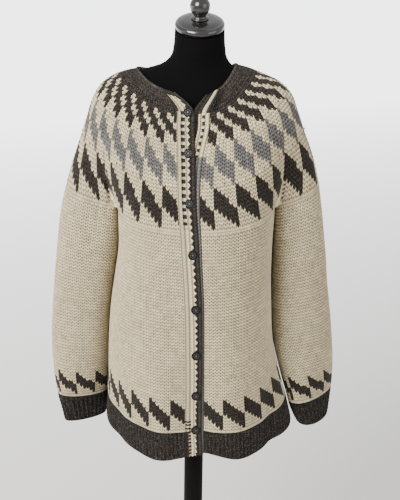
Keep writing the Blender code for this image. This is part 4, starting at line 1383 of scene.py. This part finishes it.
CAP_RADIUS, CAP_RIM, CAP_HEIGHT, BALL_RADIUS = 0.0455, 0.008, 0.020, 0.0185
axis = np.array([0.0, -math.sin(NECK_SLANT), math.cos(NECK_SLANT)])
neck_top = np.array([0.0, 0.0, NECK_TOP_Z])
profile = [(0.0, 0.0), (0.036, 0.0)] + arc(CAP_RADIUS - CAP_RIM, CAP_RIM, CAP_RIM, -90, 62, 24)
profile += smooth_profile([profile[-1], (0.034, 0.0178), (0.026, 0.0196), (0.0165, CAP_HEIGHT)])
cap = turned("gloss_cap", profile + [(0.0, CAP_HEIGHT)], NECK_SLANT, neck_top + axis * SEAM)
ball_z = 0.0045 + BALL_RADIUS
profile = [
    (0.0, 0.0), (0.0150, 0.0), (0.0158, 0.0006), (0.0160, 0.0015), (0.0157, 0.0024), (0.0142, 0.0032),
    (0.0122, 0.0038),
]
profile += arc(0.0, ball_z, BALL_RADIUS, -50, 60, 30)
tip = ball_z + BALL_RADIUS
profile += smooth_profile([
    (0.0088, tip - 0.0022), (0.0076, tip - 0.0005), (0.0088, tip + 0.002), (0.0096, tip + 0.005),
    (0.0075, tip + 0.009), (0.0, tip + 0.011),
])
ball = turned("gloss_ball", profile, NECK_SLANT, neck_top + axis * (CAP_HEIGHT + 2 * SEAM))

print("ball's tip over the cap, m:", round(tip + 0.011, 4))

# %% [markdown]
# ### The stand
#
# The stand is three plain turned pieces of painted steel: a pole, a collar that holds it, and a
# round base. Their edges are rounded a little, because a sharp edge never catches the light.

# %% Pole, collar and base
BASE_RADIUS, BASE_THICK, BASE_EDGE, BASE_SINK = 0.180, 0.014, 0.005, 0.002
COLLAR_RADIUS, COLLAR_TOP_Z, COLLAR_EDGE = 0.032, 0.060, 0.004
POLE_RADIUS, POLE_EDGE = 0.020, 0.001
low, high = COLLAR_TOP_Z + SEAM, FORM_BOTTOM_Z - SEAM
pole = turned("stand_tube", [
    (0.0, low), (POLE_RADIUS - POLE_EDGE, low), (POLE_RADIUS, low + POLE_EDGE),
    (POLE_RADIUS, high - POLE_EDGE), (POLE_RADIUS - POLE_EDGE, high), (0.0, high),
])
foot, collar_edge_z = BASE_THICK + SEAM, COLLAR_TOP_Z - COLLAR_EDGE
profile = [(0.0, foot), (COLLAR_RADIUS, foot), (COLLAR_RADIUS, collar_edge_z)]
profile += arc(COLLAR_RADIUS - COLLAR_EDGE, collar_edge_z, COLLAR_EDGE, 0, 90, 10)
collar = turned("stand_sleeve", profile + [(0.0, COLLAR_TOP_Z)])
flat_radius = BASE_RADIUS - BASE_EDGE
profile = [(0.0, 0.0), (flat_radius, 0.0)] + arc(flat_radius, BASE_EDGE, BASE_EDGE, -90, 0, 8)
profile += arc(flat_radius, BASE_THICK - BASE_SINK - BASE_EDGE, BASE_EDGE, 0, 85, 10)
base = turned("stand_plate", profile + [(COLLAR_RADIUS, BASE_THICK), (0.0, BASE_THICK)], segments=160)
print("stand pieces:", pole.name, collar.name, base.name)

# %% [markdown]
# ## Shader maths
#
# A shader is a sum in nodes. This small class lets a sum be written as in Python: each + or * on a
# wire adds one Math node. Any other node comes from the material's own method.

# %% A wire and a finish
class Wire:
    """An output that can be added, multiplied and so on, in a material's node tree."""

    def __init__(self, finish, socket):
        self.finish, self.socket = finish, socket

    def _math(self, operation, *values):
        return self.finish.node("ShaderNodeMath", {"operation": operation}, values)

    def __add__(self, other):
        return self._math("ADD", self, other)

    def __sub__(self, other):
        return self._math("SUBTRACT", self, other)

    def __rsub__(self, other):
        return self._math("SUBTRACT", other, self)

    def __mul__(self, other):
        return self._math("MULTIPLY", self, other)

    __radd__, __rmul__ = __add__, __mul__


class Finish:
    """A material with a Principled shader: constants go on its sockets, wires feed what varies."""

    def __init__(self, name, **constants):
        self.material = bpy.data.materials.new(name)
        self.material.use_nodes = True
        self.tree = self.material.node_tree
        self.shader = self.tree.nodes["Principled BSDF"]
        for socket, value in constants.items():
            self.shader.inputs[socket.replace("_", " ")].default_value = value

    def node(self, kind, settings=None, inputs=(), output=0):
        """Adds a node: its settings first, then its inputs by number or by name."""
        node = self.tree.nodes.new(kind)
        for name, value in (settings or {}).items():
            setattr(node, name, value)
        pairs = inputs.items() if isinstance(inputs, dict) else enumerate(inputs)
        for key, value in pairs:
            if isinstance(value, Wire):
                self.tree.links.new(value.socket, node.inputs[key])
            else:
                node.inputs[key].default_value = value
        return Wire(self, node.outputs[output])

    def noise(self, place, scale, detail):
        """Cloudy noise, around a half, with so many clouds to a metre."""
        return self.node("ShaderNodeTexNoise", None, {"Vector": place, "Scale": scale, "Detail": detail})

    def between(self, part, low, high):
        """A colour between two, by a part of the way from 0 to 1."""
        return self.node("ShaderNodeMix", {"data_type": "RGBA"}, {0: part, 6: low, 7: high}, output=2)

    def feed(self, socket, wire):
        """Links a wire to one of the shader's own sockets."""
        self.tree.links.new(wire.socket, self.shader.inputs[socket])
        return self


# %% [markdown]
# ## Wool
#
# Wool scatters light softly, which a little sheen gives. The colour is the stitch's own colour times a
# painted shade, dark in holes and grooves and light on crests, broken up by fibre-sized noise.
# Heathered yarn also has pale flecks. A bump map twists the strand.
# A picture of wool could be wrapped on too, but it would repeat, and noise never does.

# %% Wool, jersey, gloss, paint and pewter
def wool(name, fleck, halo):
    """Colour = stitch colour with painted shade x (fibre noise around 1), with pale flecks where a fine
    noise is high.
    """
    finish = Finish(name, Roughness=0.92, Sheen_Weight=halo, Sheen_Roughness=0.5)
    finish.shader.inputs["Sheen Tint"].default_value = (0.85, 0.8, 0.72, 1)
    finish.shader.inputs["Specular IOR Level"].default_value = 0.08
    colour = finish.node("ShaderNodeVertexColor", {"layer_name": "wool"})
    place = finish.node("ShaderNodeTexCoord", output="Object")
    fibre, blotch = finish.noise(place, 1500.0, 3.0), finish.noise(place, 26.0, 4.0)
    tone = 0.62 + fibre * 0.5 + blotch * 0.26
    tinted = finish.node("ShaderNodeVectorMath", {"operation": "SCALE"}, {0: colour, "Scale": tone})
    high = finish.noise(place, 480.0, 2.0)
    mask = finish.node("ShaderNodeMapRange", None, {0: high, 1: 0.52, 2: 0.66, 3: 0.0, 4: fleck})
    finish.feed("Base Color", finish.between(mask, tinted, (0.30, 0.28, 0.25, 1.0)))
    where = finish.node("ShaderNodeUVMap", {"uv_map": "stitches"})
    turned_by = {"Vector": where, "Scale": (7.0, 5.0, 1.0), "Rotation": (0.0, 0.0, 0.6)}
    ply = finish.noise(finish.node("ShaderNodeMapping", None, turned_by), 1.0, 4.0)
    relief = {"Strength": 0.6, "Distance": 0.0006, "Height": ply + fibre * 0.6}
    return finish.feed("Normal", finish.node("ShaderNodeBump", None, relief)).material


def jersey():
    """Fine knitted rows: two crossed waves on the object's own coordinates give the bump."""
    finish = Finish("black_jersey", Roughness=0.85, Sheen_Weight=0.006, Sheen_Roughness=0.4)
    finish.shader.inputs["Specular IOR Level"].default_value = 0.06
    place = finish.node("ShaderNodeTexCoord", output="Object")
    rows = finish.node("ShaderNodeTexWave", {"bands_direction": "Z"}, {"Vector": place, "Scale": 210.0})
    wales = finish.node("ShaderNodeTexWave", {"bands_direction": "X"}, {"Vector": place, "Scale": 260.0})
    cloud = finish.noise(place, 14.0, 3.0)
    colour = finish.between(cloud, (0.0010, 0.0010, 0.0012, 1), (0.0024, 0.0024, 0.0026, 1))
    finish.feed("Base Color", colour)
    relief = {"Strength": 0.35, "Distance": 0.0003, "Height": rows * wales}
    return finish.feed("Normal", finish.node("ShaderNodeBump", None, relief)).material


def gloss_black():
    """Black lacquer: a clear coat over it, with faint uneven polish."""
    finish = Finish("gloss_black", Roughness=0.22, Coat_Weight=0.6, Coat_Roughness=0.08)
    place = finish.node("ShaderNodeTexCoord", output="Object")
    wear = finish.noise(place, 60.0, 5.0)
    finish.feed("Roughness", 0.14 + wear * 0.16)
    colour = finish.between(wear, (0.004, 0.004, 0.004, 1), (0.010, 0.010, 0.009, 1))
    return finish.feed("Base Color", colour).material


def painted_metal():
    """Satin black paint with a fine orange peel."""
    finish = Finish("black_metal", Roughness=0.5)
    finish.shader.inputs["Specular IOR Level"].default_value = 0.06
    place = finish.node("ShaderNodeTexCoord", output="Object")
    peel, wear = finish.noise(place, 300.0, 3.0), finish.noise(place, 9.0, 6.0)
    colour = finish.between(wear, (0.0016, 0.0016, 0.0017, 1), (0.0042, 0.0042, 0.0042, 1))
    finish.feed("Base Color", colour).feed("Roughness", 0.42 + wear * 0.2)
    bump = finish.node("ShaderNodeBump", None, {"Strength": 0.12, "Distance": 0.0004, "Height": peel})
    return finish.feed("Normal", bump).material


def pewter():
    """Dark cast metal: blackened in its hollows, and bright where the relief is rubbed."""
    finish = Finish("dark_pewter", Metallic=0.85, Roughness=0.36)
    relief = finish.node("ShaderNodeVertexColor", {"layer_name": "wool"})
    place = finish.node("ShaderNodeTexCoord", output="Object")
    grain = finish.noise(place, 900.0, 4.0)
    bright = relief * (0.6 + grain * 0.8)
    colour = finish.between(bright, (0.003, 0.003, 0.0035, 1), (0.20, 0.20, 0.19, 1))
    finish.feed("Base Color", colour).feed("Roughness", 0.30 + grain * 0.3)
    bump = finish.node("ShaderNodeBump", None, {"Strength": 0.2, "Distance": 0.0002, "Height": grain})
    return finish.feed("Normal", bump).material


WOOL, DARK_WOOL = wool("cream_wool", 0.08, 0.10), wool("charcoal_wool", 0.16, 0.04)
JERSEY, GLOSS, PAINT, PEWTER = jersey(), gloss_black(), painted_metal(), pewter()
print("materials:", [m.name for m in (WOOL, DARK_WOOL, JERSEY, GLOSS, PAINT, PEWTER)])

# %% [markdown]
# ## Dressing the frame
#
# Every piece rides on the model's one body, takes its finish, and stands for its solid, which is
# hidden. The cloth pieces also carry the size they were knitted to.

# %% Pieces and their solids
CLOTH = (
    (yoke_piece, "yoke", WOOL, "cream_wool"),
    (neckband, "neckband", DARK_WOOL, "charcoal_wool"),
    (front_left, "front_left", WOOL, "cream_wool"),
    (front_right, "front_right", WOOL, "cream_wool"),
    (back, "back", WOOL, "cream_wool"),
    (hem_front_left, "hem_front_left", DARK_WOOL, "charcoal_wool"),
    (hem_front_right, "hem_front_right", DARK_WOOL, "charcoal_wool"),
    (hem_back, "hem_back", DARK_WOOL, "charcoal_wool"),
    (sleeve_left, "sleeve_left", WOOL, "cream_wool"),
    (sleeve_right, "sleeve_right", WOOL, "cream_wool"),
    (cuff_left, "cuff_left", DARK_WOOL, "charcoal_wool"),
    (cuff_right, "cuff_right", DARK_WOOL, "charcoal_wool"),
    (buttonhole_band, "buttonhole_band", WOOL, "cream_wool"),
    (button_band, "button_band", WOOL, "cream_wool"),
)
HARD = [
    (form, "form_torso", JERSEY, "black_jersey"),
    (cap, "neck_cap", GLOSS, "gloss_black"),
    (ball, "finial", GLOSS, "gloss_black"),
    (pole, "stand_pole", PAINT, "black_metal"),
    (collar, "stand_collar", PAINT, "black_metal"),
    (base, "stand_base", PAINT, "black_metal"),
]
HARD += [(button, f"button_{i + 1}", PEWTER, "dark_pewter") for i, button in enumerate(buttons)]
for piece, node, material, slot in (*CLOTH, *HARD):
    piece.data.materials.append(material)
    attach(piece, "root")
    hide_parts(node)
print("pieces:", len(CLOTH) + len(HARD))

# %% [markdown]
# ## Floor, light and camera
#
# A pale floor under soft light from the front left. The floor is so wide that its far edge doesn't
# show in front views, and it glows more with distance, which gives an even, pale background with
# nothing more to build. From the side its edge does show, as a level line.

# %% Stage
FLOOR_HALF = 240.0
GLOW_START, GLOW_FULL, GLOW_ASIDE = 0.0, 9.0, 0.6


def plane(name, half, z):
    """A square that reaches half its side from the origin each way."""
    points = [(-half, -half, z), (half, -half, z), (half, half, z), (-half, half, z)]
    return new_mesh(name, np.array(points), [np.array([[0, 1, 2, 3]])])


floor = plane("floor", FLOOR_HALF, 0.0)
# The floor's glow is painted light: it is no lamp, and it grows with distance behind the form and to the
# left
finish = Finish("floor_paint_and_glow", Roughness=0.9, Emission_Strength=1.0)
finish.shader.inputs["Base Color"].default_value = (0.72, 0.70, 0.675, 1)
place = finish.node("ShaderNodeTexCoord", output="Object")
across_floor = finish.node("ShaderNodeSeparateXYZ", None, [place])
behind = finish.node("ShaderNodeSeparateXYZ", None, [place], output=1)
distance = behind - across_floor * GLOW_ASIDE
far = finish.node("ShaderNodeMapRange", None, {0: distance, 1: GLOW_START, 2: GLOW_FULL, 3: 0.0, 4: 1.0})
finish.feed("Emission Color", finish.between(far, (0, 0, 0, 1), (3.2, 3.25, 3.3, 1)))
floor.data.materials.append(finish.material)

world = bpy.data.worlds.new("soft_room")
world.use_nodes = True
world.node_tree.nodes["Background"].inputs["Color"].default_value = (0.98, 0.98, 1.0, 1)
world.node_tree.nodes["Background"].inputs["Strength"].default_value = 1.05
bpy.context.scene.world = world


def soft_box(name, place, target, size, power, colour):
    """A square area light at a place, turned towards a target."""
    lamp = bpy.data.lights.new(name, "AREA")
    lamp.shape, lamp.size, lamp.energy, lamp.color = "SQUARE", size, power, colour
    thing = bpy.data.objects.new(name, lamp)
    thing.location = place
    thing.rotation_euler = (Vector(target) - Vector(place)).to_track_quat("-Z", "Y").to_euler()
    bpy.context.scene.collection.objects.link(thing)
    return thing


soft_box("window", (-1.6, -2.2, 2.6), (0, 0, 1.1), 1.6, 190.0, (1.0, 0.98, 0.94))
soft_box("fill", (2.4, -1.6, 1.6), (0, 0, 1.0), 2.0, 24.0, (1.0, 0.92, 0.82))

# %% [markdown]
# ### The camera
#
# The camera stands 1.6 m in front of the form, 1.53 m high, looks down by 17.5 degrees and is
# rolled by 0.9, as the proportions of the photograph ask. Its focal length is known in pixels of a
# frame that is 400 wide, so the lens follows from the sensor's width.

# %% Camera
FOCAL_PX, FRAME_W = 850.0, 400
SENSOR = 36.0
CAMERA_PLACE = (0.0067, -1.6, 1.53)
LOOK_DOWN, ROLL = 17.5, 0.9
lens = bpy.data.cameras.new("camera")
lens.sensor_fit, lens.sensor_width, lens.lens = "HORIZONTAL", SENSOR, SENSOR * FOCAL_PX / FRAME_W
camera = bpy.data.objects.new("camera", lens)
camera.location = CAMERA_PLACE
tipped = Matrix.Rotation(math.radians(90 - LOOK_DOWN), 4, "X")
camera.rotation_euler = (tipped @ Matrix.Rotation(math.radians(ROLL), 4, "Z")).to_euler()
bpy.context.scene.collection.objects.link(camera)
bpy.context.scene.camera = camera
print("lens, mm:", lens.lens)
